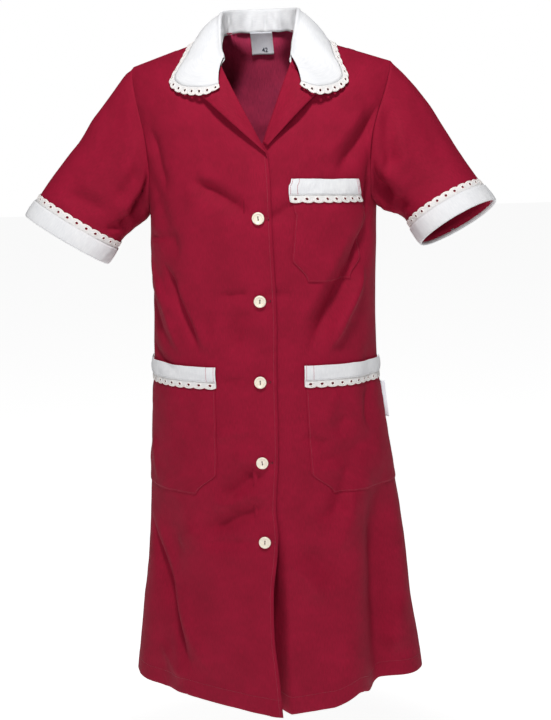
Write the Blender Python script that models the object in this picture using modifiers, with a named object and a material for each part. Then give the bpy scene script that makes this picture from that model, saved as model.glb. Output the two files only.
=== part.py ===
"""A women's work smock in the shape it has when worn, with no wearer in it.

Short set-in sleeves, a front that buttons right over left, and a white collar, cuffs and pocket bands that are all
edged in scalloped eyelet trim. Tables are in millimetres and the model in metres. The origin is where the wearer's
shoulders hold the smock up: the middle of the neck opening, level with the shoulder beside the neck. +Z is up, the
front faces -Y and the wearer's left is +X. A cloth piece is a grid laid on a worked-out surface, and Solidify gives
it its wall on the inside.
"""

import math
from types import SimpleNamespace

import bmesh
import bpy
from mathutils import Matrix, Vector

MM = 0.001
WALL = 1.5
POCKET_WALL = 1.2
BAND_WALL = 1.2
CUFF_WALL = 1.5
TRIM_WALL = 1.0
LABEL_WALL = 0.8
SEAM = 0.3
HALF_SEAM = 0.4  # the front and back each stand off the side and shoulder seams by this much
SHOULDER_GAP = 0.45  # and by this much more at the shoulder, where their walls lean together
LAYER_GAP = 0.8  # between a pocket and the band and trim on it, whose cells bend otherwise than the pocket's

HEM = -974
HEM_CLIMB = 16  # the hem is this much higher at the side seams
ARMPIT = -245
HIP_POCKET_TOP = -456
HIP_POCKET_FOOT = -643
CHEST_POCKET_TOP = -193
CHEST_POCKET_FOOT = -335
POCKET_CORNER = 32  # height of the turned-under lower corner
BAND = 20
TRIM = 11
CHEST_TILT = 10  # the chest pocket runs down by this much towards the armhole
HIP_DROP = 8  # and the hip pockets by this much towards the side seam

NECK_CENTRE = 4
NECK_HALF = 51
NECK_POINT_Z = 2
NECK_RISE = 1.95
NECK_BLEND = 5
NECK_SHELF = 6  # the neckline begins to rise this far inside the neck point
SHOULDER_SLOPE = 0.322
SHOULDER_Y = 6
SHOULDER_ROUND = 80  # the cloth turns from upright to level over this drop below the shoulder seam

OVERLAP_LIFT = 2.4  # how far the upper front stands over the lower one
OVERLAP_INNER = -15
OVERLAP_OUTER = -70

SCALLOP = 13
SCALLOP_DEPTH = 2.4
SCALLOP_STEPS = 3

BUTTON_RADIUS = 9
BUTTON_THICKNESS = 3
BUTTON_PITCH = 116.5
BUTTON_TOP = -246
BUTTON_COUNT = 5
BUTTON_SIDES = 12

RED = (0.30, 0.010, 0.040, 1)
WHITE = (0.86, 0.87, 0.87, 1)
TRIM_WHITE = (0.82, 0.80, 0.76, 1)
CREAM = (0.80, 0.72, 0.55, 1)


def table(columns, *rows):
    """Rows of numbers as records with the named columns."""
    names = columns.split()
    return [SimpleNamespace(**dict(zip(names, row))) for row in rows]


# Level rings round the body: sideways shift, half width, depth of front and back, and squareness (2 is an ellipse)
BODY = table(
    "z centre half front back square",
    (-985, -4, 226, 150, 144, 1.75),
    (-915, -3, 217, 147, 139, 1.85),
    (-840, -3, 206, 142, 133, 1.95),
    (-765, 0, 197, 138, 127, 2.0),
    (-690, -1, 189, 134, 120, 2.05),
    (-600, -2, 180, 129, 111, 2.1),
    (-500, -4, 170, 123, 100, 2.15),
    (-420, -4.5, 165, 119, 94, 2.2),
    (-360, -3.5, 164, 122, 96, 2.25),
    (-300, -2, 165, 126, 101, 2.3),
    (-245, 0, 165, 125, 105, 2.3),
    (-200, 1, 170, 120, 107, 2.3),
    (-160, 2, 176, 113, 108, 2.3),
    (-120, 3, 184, 103, 107, 2.3),
    (-80, 4, 190, 90, 104, 2.3),
    (-40, 4, 195, 74, 97, 2.3),
    (0, 4, 200, 58, 88, 2.3),
    (45, 4, 204, 44, 78, 2.3),
)

# Half width of the cloth at the armhole seam, front and back, measured from the ring's centre
ARMHOLE = table(
    "z front back",
    (-245, 165.0, 165.0),
    (-240, 164.5, 165.0),
    (-229, 162.5, 164.5),
    (-207, 160.0, 164.0),
    (-183, 158.5, 165.0),
    (-160, 159.0, 168.0),
    (-136, 162.0, 171.5),
    (-114, 167.0, 175.0),
    (-94, 173.0, 178.5),
    (-76, 178.5, 181.5),
    (-62, 182.0, 183.5),
    (-50, 184.5, 185.0),
    (-40, 185.5, 185.5),
)

# Front edges, from the hem up to where each turns back as a lapel, along its roll and up the neck
RIGHT_EDGE = table(
    "z x",
    (-985, 15),
    (-918, 12),
    (-858, 8),
    (-801, 8),
    (-772, 10),
    (-737, 15),
    (-702, 18),
    (-667, 16),
    (-633, 18),
    (-581, 22),
    (-472, 23),
    (-385, 26),
    (-277, 25),
    (-194, 24),
    (-163, 22),
    (-147, 12),
    (-37, -45),
    (-22, -46.5),
    (50, NECK_CENTRE - NECK_HALF),
)
LEFT_EDGE = table(
    "z x",
    (-985, -14),
    (-214, -14),
    (-147, 13),
    (-37, 53),
    (-22, 54.5),
    (50, NECK_CENTRE + NECK_HALF),
)

# Grid rows of the fronts: height at the front edge, height at the seam, and how far the row follows the shoulder line
ROWS = table(
    "z seam_z follow",
    (HEM, HEM + HEM_CLIMB, 0),
    (-945, -935, 0),
    (-900, -895, 0),
    (-850, -848, 0),
    (-800, -800, 0),
    (-750, -752, 0),
    (-700, -704, 0),
    (HIP_POCKET_FOOT, HIP_POCKET_FOOT - HIP_DROP, 0),
    (HIP_POCKET_FOOT + POCKET_CORNER, HIP_POCKET_FOOT + POCKET_CORNER - HIP_DROP, 0),
    (-570, -570 - HIP_DROP, 0),
    (-530, -530 - HIP_DROP, 0),
    (HIP_POCKET_TOP - BAND - TRIM, HIP_POCKET_TOP - BAND - TRIM - HIP_DROP, 0),
    (HIP_POCKET_TOP - BAND, HIP_POCKET_TOP - BAND - HIP_DROP, 0),
    (HIP_POCKET_TOP, HIP_POCKET_TOP - HIP_DROP, 0),
    (-420, -425, 0),
    (-378, -382, 0),
    (CHEST_POCKET_FOOT, CHEST_POCKET_FOOT - CHEST_TILT, 0),
    (CHEST_POCKET_FOOT + POCKET_CORNER, CHEST_POCKET_FOOT + POCKET_CORNER - CHEST_TILT, 0),
    (-270, -278, 0),
    (-243, ARMPIT, 0),
    (CHEST_POCKET_TOP - BAND - TRIM, -236, 0),
    (CHEST_POCKET_TOP - BAND, -224, 0),
    (CHEST_POCKET_TOP, -203, 0),
    (-163, -180, 0.1),
    (-147, -158, 0.2),
    (-120, -136, 0.4),
    (-92, -114, 0.6),
    (-63, -94, 0.8),
    (-37, -76, 1),
    (-22, -62, 1),
    (-11, -50, 1),
    (50, 50, 1),
)
ARMPIT_ROW = [row.seam_z for row in ROWS].index(ARMPIT)

# Where the pocket's inner and outer edges run, as shares of the way from the front edge to the seam
LEFT_LINES = table(
    "z inner outer",
    (-985, 0.22, 0.74),
    (-643, 0.272, 0.76),
    (-456, 0.278, 0.76),
    (-400, 0.25, 0.75),
    (-335, 0.21, 0.735),
    (-193, 0.245, 0.78),
    (0, 0.245, 0.78),
)
RIGHT_LINES = table(
    "z inner outer",
    (-985, 0.27, 0.76),
    (-643, 0.28, 0.76),
    (-456, 0.26, 0.76),
    (-335, 0.25, 0.74),
    (0, 0.25, 0.74),
)
EDGE_CELLS = 3
POCKET_CELLS = 6
SIDE_SHARES = (0.36, 0.70, 0.90)  # the last columns close up, so that the cloth turns the side seam cleanly
BACK_NECK_CELLS = 3
BACK_SIDE_CELLS = 5

# Folds: each runs from its top to its foot, turns are degrees round the body from the middle front, +90 at the left
# seam; width and height across the cloth, and how much of the height is left at the foot
FOLDS = table(
    "top_turn top_z foot_turn foot_z width height hold",
    (46, -560, 33, -990, 24, 3, 1),
    (66, -600, 55, -990, 36, -46, 1),
    (30, -640, 20, -990, 26, -6, 1),
    (84, -150, 60, -370, 20, -4, 0),
    (62, -330, 30, -450, 15, 4, 0),
    (72, -420, 58, -640, 20, -5, 0),
    (-88, -340, -45, -450, 14, -5, 0),
    (-80, -300, -40, -400, 14, 4, 0),
    (-50, -620, -54, -990, 34, -15, 1),
    (-34, -650, -28, -990, 26, -4, 1),
    (-66, -150, -40, -330, 18, -4, 0),
    (112, -560, 118, -990, 26, 12, 1),
    (134, -600, 140, -990, 26, -12, 1),
    (154, -520, 160, -990, 28, 11, 1),
    (180, -600, 184, -990, 28, -9, 1),
    (206, -540, 204, -990, 28, 12, 1),
    (228, -600, 226, -990, 26, -12, 1),
    (248, -560, 244, -990, 26, 11, 1),
    (128, -170, 160, -400, 20, -5, 0),
    (232, -170, 200, -400, 20, -5, 0),
    (100, -350, 150, -470, 16, 4, 0),
    (260, -350, 212, -470, 16, 4, 0),
)

# The neckline, as the angle over the shoulder (0 chest, 90 shoulder seam, 180 back) at each distance from its centre
BACK_NECK = table(
    "out over",
    (0, 150),
    (16, 145),
    (30, 132.5),
    (42, 112),
    (48.5, 97),
    (NECK_HALF, 90),
)

# The collar's sections from the middle back to the front end: neck seam, roll, sewn edge and the trim's own edge
COLLAR = table(
    "neck_out neck_over roll_out roll_y roll_z edge_out edge_over trim_out trim_over lift trim_lift",
    (0, 150, 0, 82, 40, 0, 174, 0, 185, 4.5, 2.7),
    (13, 146.5, 13, 81, 40, 20, 170, 22, 181, 4.5, 2.7),
    (26, 137, 27, 77, 40, 40, 154, 45, 164, 4.5, 2.7),
    (43, 110.5, 43, 56, 39.5, 68, 130, 76, 139, 4.5, 2.7),
    (50, 94, 50, 32, 38, 84, 110, 94, 115, 4.5, 2.7),
    (51, 84, 51.5, 10, 35, 90, 88, 101, 90, 4.5, 2.7),
    (51, 66, 51, -8, 27, 93, 70, 104, 66, 4.5, 2.7),
    (51, 54, 50, -22, 14, 99, 51, 111, 46.5, 4.5, 2.7),
    (50.5, 44, 49, -35, 0, 108, 39, 119, 34.5, 4.5, 2.7),
    (50, 38, 48.5, -46.5, -9.5, 115, 26.5, 125, 22, 4.5, 3),
    (49.5, 33, 48.5, -53.5, -17, 105, 19, 114, 11, 6.5, 6),
    (49, 29.5, 48.5, -59, -22, 80, 13.5, 82, 5, 8, 8),
    (49, 27, 48.5, -63, -27, 60, 17, 56, 10, 8, 8),
)
COLLAR_STEPS = 2
NECK_GAP = 1.6
COLLAR_TRIM_GAP = 1.2
COLLAR_ROLL = 3
COLLAR_FALL_CELLS = 4
COLLAR_FALL_CROWN = 4

# Each lapel in the plane of the front: ends of its roll and of its free edge, from the foot up
LAPELS = {
    "lapel_right": SimpleNamespace(side=-1, roll=((17, -153), (-44, -39)), edge=((22, -161), (-69, -81))),
    "lapel_left": SimpleNamespace(side=1, roll=((15.5, -145), (52, -41)), edge=((21, -149), (87, -84))),
}
LAPEL_GAP = 1.0
LAPEL_WALL = 1.2
LAPEL_CROWN = 3

# Each sleeve's opening: its middle, half length across, half depth, and the slope of its long way in degrees
SLEEVES = {
    "left": SimpleNamespace(
        side=1, middle=(280, -22, -268), half_wide=59, half_deep=52, slope=30, lean=17.5, low_way=(0.8, -0.6),
        top_way=(0.75, -0.66),
    ),
    "right": SimpleNamespace(
        side=-1, middle=(-294, -22, -278.5), half_wide=71, half_deep=38, slope=32.5, lean=6, low_way=(0.45, -0.9),
        top_way=(0.57, -0.82),
    ),
}
SLEEVE_TURN = 36  # degrees from upright of the way the sleeve hangs
SLEEVE_ROWS = (0.04, 0.12, 0.24, 0.40, 0.58, 0.79, 1)
CUFF = 27
CUFF_TRIM = 11.5
CUFF_HEM_INSET = 2
CUFF_SIDES = 32
CUFF_SCALLOPS = 27

LABEL_TOP = 4
LABEL_FOOT = -28
LABEL_MIDDLE = 1
LABEL_DEPTH = 4.6  # from the back's outer side in to the label's


def power(value, exponent):
    """A power that keeps its number's sign."""
    return math.copysign(abs(value) ** exponent, value)


def smooth(value):
    """0 below 0 and 1 above 1, with a soft change between."""
    value = min(1, max(0, value))
    return value * value * (3 - 2 * value)


def span(rows, key, at):
    """The two table rows round a value of the key column, and the share of the way between them."""
    k = 0
    while k < len(rows) - 2 and at > getattr(rows[k + 1], key):
        k += 1
    low, high = getattr(rows[k], key), getattr(rows[k + 1], key)
    return k, min(1, max(0, (at - low) / (high - low)))


def straight(rows, key, at, column):
    """A column's value on straight lines between the rows."""
    k, share = span(rows, key, at)
    low, high = getattr(rows[k], column), getattr(rows[k + 1], column)
    return low + (high - low) * share


def curved(rows, key, at, column):
    """A column's value on a smooth curve through the rows."""
    k, share = span(rows, key, at)
    spots = [getattr(row, key) for row in rows]
    values = [getattr(row, column) for row in rows]

    def slope(i):
        before, after = max(0, i - 1), min(len(rows) - 1, i + 1)
        return (values[after] - values[before]) / (spots[after] - spots[before])

    width = spots[k + 1] - spots[k]
    square, cube = share**2, share**3
    return (
        values[k] * (2 * cube - 3 * square + 1)
        + values[k + 1] * (3 * square - 2 * cube)
        + slope(k) * width * (cube - 2 * square + share)
        + slope(k + 1) * width * (cube - square)
    )


def ring(z):
    """The body's level ring at a height."""
    names = ("centre", "half", "front", "back", "square")
    return SimpleNamespace(**{name: curved(BODY, "z", z, name) for name in names})


def shoulder_line(x):
    """Height of the shoulder seam: it slopes down outwards, and inside the neck it rises to give the neckline depth."""
    out = abs(x - NECK_CENTRE) - NECK_HALF
    inside = NECK_BLEND * math.log1p(math.exp(-(out + NECK_SHELF) / NECK_BLEND))
    arch = inside - inside**2 / (2 * (NECK_HALF - NECK_SHELF))
    return NECK_POINT_Z - SHOULDER_SLOPE * (out + inside) + NECK_RISE * arch


def climb(drop):
    """Way along the cloth for a drop below the shoulder line, from 0 where the cloth begins to turn level."""
    if drop > SHOULDER_ROUND:
        return SHOULDER_ROUND - drop
    return SHOULDER_ROUND * math.asin(1 - max(0, drop) / SHOULDER_ROUND)


def fall(way):
    """The drop below the shoulder line for a way along the cloth."""
    if way < 0:
        return SHOULDER_ROUND - way
    return SHOULDER_ROUND * (1 - math.sin(way / SHOULDER_ROUND))


SHOULDER_WAY = climb(0)


def fold_height(turn, z, level):
    """How far the folds move the cloth out at a turn and a height."""
    total = 0
    per_degree = math.radians(level.half + level.front) / 2
    for fold in FOLDS:
        share = (z - fold.top_z) / (fold.foot_z - fold.top_z)
        if not 0 < share < 1:
            continue
        middle = fold.top_turn + (fold.foot_turn - fold.top_turn) * share
        away = ((turn - middle + 180) % 360 - 180) * per_degree
        strength = smooth(share / 0.4) * (1 - (1 - fold.hold) * smooth((share - 0.6) / 0.4))
        total += fold.height * strength * math.exp(-((away / fold.width) ** 2))
    return total


def body(turn, z, lift=0):
    """The cloth's outer side at a turn about the body and a height."""
    level = ring(z)
    angle = math.radians(turn)
    side, ahead = math.sin(angle), math.cos(angle)
    x = level.centre + level.half * power(side, 2 / level.square)
    depth = level.front if ahead > 0 else level.back
    y = -depth * power(ahead, 2 / level.square)
    outward = Vector((depth * side, -level.half * ahead)).normalized()
    moved = lift + fold_height(turn, z, level)
    x += outward.x * moved
    y += outward.y * moved
    drop = shoulder_line(x) - z
    if drop < SHOULDER_ROUND:
        y = SHOULDER_Y + (y - SHOULDER_Y) * math.cos(climb(drop) / SHOULDER_ROUND)
    return Vector((x, y, z))


def turn_at(x, z):
    """The turn, between -90 and 90 degrees, at which the body's ring reaches a sideways place."""
    level = ring(z)
    share = min(1, max(-1, (x - level.centre) / level.half))
    return math.degrees(math.asin(power(share, level.square / 2)))


def chest(x, z, lift=0):
    """The front's outer side at a sideways place and a height."""
    return body(turn_at(x, z), z, lift)


def yoke(out, over):
    """The cloth about the neck: distance out from its centre, and angle over the shoulder from chest to back."""
    x = NECK_CENTRE + out
    angle = math.radians(over)
    z = shoulder_line(x) - SHOULDER_ROUND * (1 - math.sin(angle))
    level = ring(z)
    share = abs(x - level.centre) / level.half
    depth = level.back if over > 90 else level.front
    y = -math.copysign(depth, math.cos(angle)) * (1 - share**level.square) ** (1 / level.square)
    return Vector((x, SHOULDER_Y + (y - SHOULDER_Y) * abs(math.cos(angle)), z))


def moved_out(surface, a, b, distance):
    """A surface's point moved along its normal, away from the middle of the body."""
    step = 0.5
    here = surface(a, b)
    across = surface(a + step, b) - surface(a - step, b)
    up = surface(a, b + step) - surface(a, b - step)
    normal = across.cross(up).normalized()
    inside = Vector((NECK_CENTRE, 0, here.z - 60))
    if normal.dot(here - inside) < 0:
        normal.negate()
    return here + normal * distance


def overlap_lift(side, x):
    """How far the right front stands out over the left one, fading away from the front edge."""
    if side > 0:
        return 0
    return OVERLAP_LIFT * smooth((x - OVERLAP_OUTER) / (OVERLAP_INNER - OVERLAP_OUTER))


def front_shares(lines, z):
    """Column places of a front at a height, from the front edge at 0 to the seam at 1."""
    inner = curved(lines, "z", z, "inner")
    outer = curved(lines, "z", z, "outer")
    shares = [inner * k / EDGE_CELLS for k in range(EDGE_CELLS)]
    shares += [inner + (outer - inner) * k / POCKET_CELLS for k in range(POCKET_CELLS + 1)]
    return shares + [outer + (1 - outer) * share for share in SIDE_SHARES] + [1]


def seam_turn(z, face):
    """The turn of the side seam or armhole from the middle of its own panel."""
    if z <= ARMPIT:
        return 90
    level = ring(min(z, ARMHOLE[-1].z))
    share = curved(ARMHOLE, "z", z, face) / level.half
    return math.degrees(math.asin(min(1, share) ** (level.square / 2)))


def seam_place(row, side, face):
    """Turn, height and way up of a row's end at the seam; the last row ends on the shoulder seam itself."""
    turn = seam_turn(row.seam_z, face)
    z = min(row.seam_z, ARMHOLE[-1].z)
    x = body(side * turn, z).x
    if row.seam_z > z:
        return turn, shoulder_line(x), SHOULDER_WAY
    return turn, z, climb(shoulder_line(x) - z)


def front_grid(side, edge, lines):
    """Points of a front: rows from the hem up, each from the front edge out to the seam."""
    rows = []
    for row in ROWS:
        edge_x = straight(edge, "z", row.z, "x")
        edge_z = min(row.z, shoulder_line(edge_x))
        edge_turn = side * turn_at(edge_x, edge_z)
        edge_way = climb(shoulder_line(edge_x) - edge_z)
        turn_out, seam_z, seam_way = seam_place(row, side, "front")
        points = []
        for share in front_shares(lines, row.z):
            turn = side * (edge_turn + (turn_out - edge_turn) * share)
            level_z = edge_z + (seam_z - edge_z) * share
            x = body(turn, level_z).x
            followed = shoulder_line(x) - fall(edge_way + (seam_way - edge_way) * share)
            z = level_z + (followed - level_z) * row.follow
            point = body(turn, z, overlap_lift(side, x))
            points.append(point - Vector((0, HALF_SEAM + SHOULDER_GAP * row.follow, 0)))
        rows.append(points)
    return rows


def back_shares():
    """Column places of the back at one side, from the middle at 0 to the seam at 1, with one at the neck point."""
    tip_turn = seam_turn(ARMHOLE[-1].z, "back")
    level = ring(shoulder_line(NECK_CENTRE + NECK_HALF))
    neck_turn = math.degrees(math.asin((NECK_HALF / level.half) ** (level.square / 2)))
    neck = neck_turn / tip_turn
    shares = [neck * k / BACK_NECK_CELLS for k in range(BACK_NECK_CELLS + 1)]
    shares += [neck + (1 - neck) * k / BACK_SIDE_CELLS for k in range(1, BACK_SIDE_CELLS)]
    return shares + [(shares[-1] + 2) / 3, 1]


def back_grid():
    """Points of the back: rows from the hem up, each from the left seam to the right one."""
    shares = back_shares()
    places = [-share for share in reversed(shares)] + shares[1:]
    rows = []
    armpit_way = climb(shoulder_line(ring(ARMPIT).half) - ARMPIT)
    for row in ROWS:
        turn_out, seam_z, seam_way = seam_place(row, 1, "back")
        progress = (seam_way - armpit_way) / (SHOULDER_WAY - armpit_way)
        points = []
        for place in places:
            turn = 180 + place * turn_out
            z = seam_z
            if row.seam_z > ARMPIT:
                x = body(turn, seam_z).x
                out = abs(x - NECK_CENTRE)
                top = SHOULDER_WAY
                if out < NECK_HALF - 1:
                    top = SHOULDER_ROUND * math.radians(180 - curved(BACK_NECK, "out", out, "over"))
                foot = climb(shoulder_line(x) - ARMPIT)
                z = shoulder_line(x) - fall(foot + (top - foot) * progress)
            points.append(body(turn, z) + Vector((0, HALF_SEAM + SHOULDER_GAP * row.follow, 0)))
        rows.append(points)
    return rows


def grid_normals(rows):
    """Outward normals of a grid's points."""
    normals = []
    high, wide = len(rows) - 1, len(rows[0]) - 1
    for j in range(high + 1):
        line = []
        for i in range(wide + 1):
            across = rows[j][min(i + 1, wide)] - rows[j][max(i - 1, 0)]
            up = rows[min(j + 1, high)][i] - rows[max(j - 1, 0)][i]
            normal = across.cross(up).normalized()
            if normal.dot(rows[j][i] - Vector((0, 0, rows[j][i].z - 60))) < 0:
                normal.negate()
            line.append(normal)
        normals.append(line)
    return normals


def on_grid(rows, normals, i, j, distance):
    """A point between a grid's own points, moved out from the cloth."""
    i0, j0 = min(int(i), len(rows[0]) - 2), min(int(j), len(rows) - 2)
    u, v = i - i0, j - j0

    def blend(grid):
        low = grid[j0][i0].lerp(grid[j0][i0 + 1], u)
        high = grid[j0 + 1][i0].lerp(grid[j0 + 1][i0 + 1], u)
        return low.lerp(high, v)

    return blend(rows) + blend(normals).normalized() * distance


def material(name, colour, roughness):
    """A plain finish."""
    finish = bpy.data.materials.new(name)
    finish.use_nodes = True
    shader = finish.node_tree.nodes["Principled BSDF"]
    shader.inputs["Base Color"].default_value = colour
    shader.inputs["Roughness"].default_value = roughness
    shader.inputs["Metallic"].default_value = 0
    finish.diffuse_color = colour
    return finish


def cloth(name, rows, finish, wall, inside, closed=False):
    """A cloth piece: a grid with each point in its place, given its wall on the side of a point inside it."""
    wide, high = len(rows[0]) - 1, len(rows) - 1
    mesh = bpy.data.meshes.new(name)
    bm = bmesh.new()
    bmesh.ops.create_grid(bm, x_segments=wide, y_segments=high, size=0.5)
    for vert in bm.verts:
        i = round((vert.co.x + 0.5) * wide)
        j = round((vert.co.y + 0.5) * high)
        vert.co = rows[j][i] * MM
    if closed:
        bmesh.ops.remove_doubles(bm, verts=bm.verts, dist=0.01 * MM)
    bm.normal_update()
    facing = sum(face.normal.dot(face.calc_center_median() - inside * MM) * face.calc_area() for face in bm.faces)
    if facing < 0:
        bmesh.ops.reverse_faces(bm, faces=bm.faces)
    bm.to_mesh(mesh)
    bm.free()
    mesh.materials.append(finish)
    mesh.shade_smooth()
    piece = bpy.data.objects.new(name, mesh)
    smock.objects.link(piece)
    solidify = piece.modifiers.new("wall", "SOLIDIFY")
    solidify.thickness = wall * MM
    solidify.offset = -1
    solidify.use_even_offset = False
    return piece


def scallop(share, count):
    """Depth, from 0 in a notch to 1 on a crest, along an edge of that many scallops."""
    place = share * count % 1
    return math.sin(math.pi * place) ** 0.6


def patch(rows, normals, left, right, foot, top, distance, corners=()):
    """A piece on a panel's own grid between whole columns and rows, moved out, with the named corners turned under."""
    points = [[on_grid(rows, normals, i, j, distance) for i in range(left, right + 1)] for j in range(foot, top + 1)]
    for corner in corners:
        side, beside = (0, 1) if corner == "left" else (-1, -2)
        middle = (points[0][beside] + points[1][side]) / 2
        points[0][side] = points[0][side].lerp(middle, 0.7)
    return points


def strip(rows, normals, left, right, foot, top, distance, columns):
    """A straight strip on a panel between two of its rows, in as many columns as asked."""
    spots = [left + (right - left) * k / columns for k in range(columns + 1)]
    return [[on_grid(rows, normals, i, j, distance) for i in spots] for j in (foot, top)]


def scalloped_strip(rows, normals, left, right, foot, top, distance, count):
    """A strip of eyelet trim on a panel: straight at its top, scalloped at its foot."""
    steps = count * SCALLOP_STEPS
    spots = [k / steps for k in range(steps + 1)]
    notch = SCALLOP_DEPTH / TRIM
    lower = [foot + (top - foot) * notch * (1 - scallop(share, count)) for share in spots]
    columns = [left + (right - left) * share for share in spots]
    gap = SEAM / TRIM
    return [
        [on_grid(rows, normals, i, j, distance) for i, j in zip(columns, lower)],
        [on_grid(rows, normals, i, top - (top - foot) * gap, distance) for i in columns],
    ]


def row_at(z):
    """Index of the grid row at a height on the front edge."""
    return [row.z for row in ROWS].index(z)


def pocket(name, grid, normals, left, right, top_z, foot_z, corners, scallops):
    """A patch pocket with its white band and the trim that hangs from the band."""
    foot, top = row_at(foot_z), row_at(top_z)
    band_foot, trim_foot = row_at(top_z - BAND), row_at(top_z - BAND - TRIM)
    inside = Vector((0, 0, (top_z + foot_z) / 2))
    pocket_side = SEAM + POCKET_WALL
    points = patch(grid, normals, math.ceil(left), int(right), foot, top, pocket_side, corners)
    cloth(f"{name}_pocket", points, red, POCKET_WALL, inside)
    ends = (left, right, band_foot, top)
    columns = int(right) - math.ceil(left)
    band = strip(grid, normals, *ends, pocket_side + LAYER_GAP + BAND_WALL, 2 * columns)
    cloth(f"{name}_band", band, white, BAND_WALL, inside)
    trim_side = pocket_side + LAYER_GAP + TRIM_WALL
    trim = scalloped_strip(grid, normals, left, right, trim_foot, band_foot, trim_side, scallops)
    cloth(f"{name}_trim", trim, trim_white, TRIM_WALL, inside)


def lapel(name, shape):
    """A lapel: the top of a front, turned back flat along its roll."""
    across, along = 5, 8
    roll_foot, roll_top = (Vector(end) for end in shape.roll)
    edge_foot, edge_top = (Vector(end) for end in shape.edge)

    def place(i, j):
        roll = roll_foot.lerp(roll_top, j / along)
        edge = edge_foot.lerp(edge_top, j / along)
        spot = roll.lerp(edge, i / across)
        crown = LAPEL_CROWN * math.sin(math.pi * i / across) * smooth(j / along * 2)
        lift = overlap_lift(shape.side, spot.x)
        out = LAPEL_GAP + LAPEL_WALL + crown
        return moved_out(lambda x, z: chest(x, z, lift), spot.x, spot.y, out)

    points = [[place(i, j) for i in range(across + 1)] for j in range(along + 1)]
    cloth(name, points, red, LAPEL_WALL, Vector((0, 0, -120)))


def collar_section(place, side):
    """One section of the collar, from the neck seam up the stand, over the roll and down the fall to its edge."""
    at = {name: curved(collar_rows, "station", place, name) for name in vars(COLLAR[0])}
    at = SimpleNamespace(**at)
    seam = math.copysign(HALF_SEAM + SHOULDER_GAP, at.neck_over - 90)
    neck = yoke(side * at.neck_out, at.neck_over) + Vector((0, seam, NECK_GAP))
    roll = Vector((NECK_CENTRE + side * at.roll_out, at.roll_y, at.roll_z))
    edge = moved_out(yoke, side * at.edge_out, at.edge_over, at.lift)
    outward = Vector((roll.x - NECK_CENTRE, roll.y - 15, 0)).normalized() * COLLAR_ROLL
    stand_top = roll - outward - Vector((0, 0, 1.2 * COLLAR_ROLL))
    fall_top = roll + outward - Vector((0, 0, COLLAR_ROLL))
    middle = (fall_top + edge) / 2
    away = (middle - Vector((NECK_CENTRE, 15, middle.z - 40))).normalized()
    control = middle + away * 2 * COLLAR_FALL_CROWN
    points = [neck, (neck + stand_top) / 2, stand_top, roll, fall_top]
    for k in range(1, COLLAR_FALL_CELLS):
        share = k / COLLAR_FALL_CELLS
        points.append(fall_top.lerp(control, share).lerp(control.lerp(edge, share), share))
    return points + [edge]


def collar_trim_points():
    """The trim round the collar's edge: its sewn side and its scalloped side."""
    last = len(COLLAR) - 1
    steps = 2 * 27 * SCALLOP_STEPS
    sewn, free = [], []
    places = [last * (2 * k / steps - 1) for k in range(steps + 1)]
    tracks = []
    for place in places:
        station, side = abs(place), (1 if place >= 0 else -1)
        at = {name: curved(collar_rows, "station", station, name) for name in vars(COLLAR[0])}
        at = SimpleNamespace(**at)
        edge = moved_out(yoke, side * at.edge_out, at.edge_over, at.lift)
        rim = moved_out(yoke, side * at.trim_out, at.trim_over, at.trim_lift)
        tracks.append((edge, rim))
    ways = [0]
    for before, after in zip(tracks, tracks[1:]):
        ways.append(ways[-1] + (after[1] - before[1]).length)
    count = round(ways[-1] / SCALLOP)
    steps = count * SCALLOP_STEPS
    for k in range(steps + 1):
        way = ways[-1] * k / steps
        n = 0
        while n < len(ways) - 2 and ways[n + 1] < way:
            n += 1
        share = (way - ways[n]) / (ways[n + 1] - ways[n])
        edge = tracks[n][0].lerp(tracks[n + 1][0], share)
        rim = tracks[n][1].lerp(tracks[n + 1][1], share)
        width = (rim - edge).length
        sewn.append(edge.lerp(rim, COLLAR_TRIM_GAP / width))
        free.append(rim.lerp(edge, SCALLOP_DEPTH / width * (1 - scallop(k / steps, count))))
    return [sewn, free]


def sleeve_frame(shape):
    """The sleeve's opening as a frame: its middle, long way, deep way and the way the sleeve hangs."""
    slope = math.radians(shape.slope)
    wide = Vector((shape.side * math.cos(slope), 0, math.sin(slope)))
    hang = Vector((shape.side * math.sin(math.radians(SLEEVE_TURN)), 0, -math.cos(math.radians(SLEEVE_TURN))))
    lean = math.radians(shape.lean)
    hang = (hang * math.cos(lean) + Vector((0, -math.sin(lean), 0))).normalized()
    deep = Vector((0, -1, 0))
    deep = (deep - hang * deep.dot(hang)).normalized()
    return Vector(shape.middle), wide, deep, hang


def opening_point(shape, angle, above, out=0):
    """A point of the sleeve's straight end: angle from the armpit side round the front, height above the cuff's edge."""
    middle, wide, deep, hang = sleeve_frame(shape)
    along, ahead = -math.cos(angle), math.sin(angle)
    flat = wide * along * shape.half_wide + deep * ahead * shape.half_deep
    outward = (wide * along * shape.half_deep + deep * ahead * shape.half_wide).normalized()
    return middle + flat + outward * out - hang * above


def armhole_loop(front, back, side):
    """The armhole's points, from the armpit up the front, over the shoulder tip and down the back."""
    up = [points[-1] for points in front[ARMPIT_ROW:]]
    column = 0 if side > 0 else -1
    down = [points[column] for points in back[ARMPIT_ROW:]]
    foot, tip = (up[0] + down[0]) / 2, (up[-1] + down[-1]) / 2
    return [foot, *up[1:-1], tip, *reversed(down[1:-1])]


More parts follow.
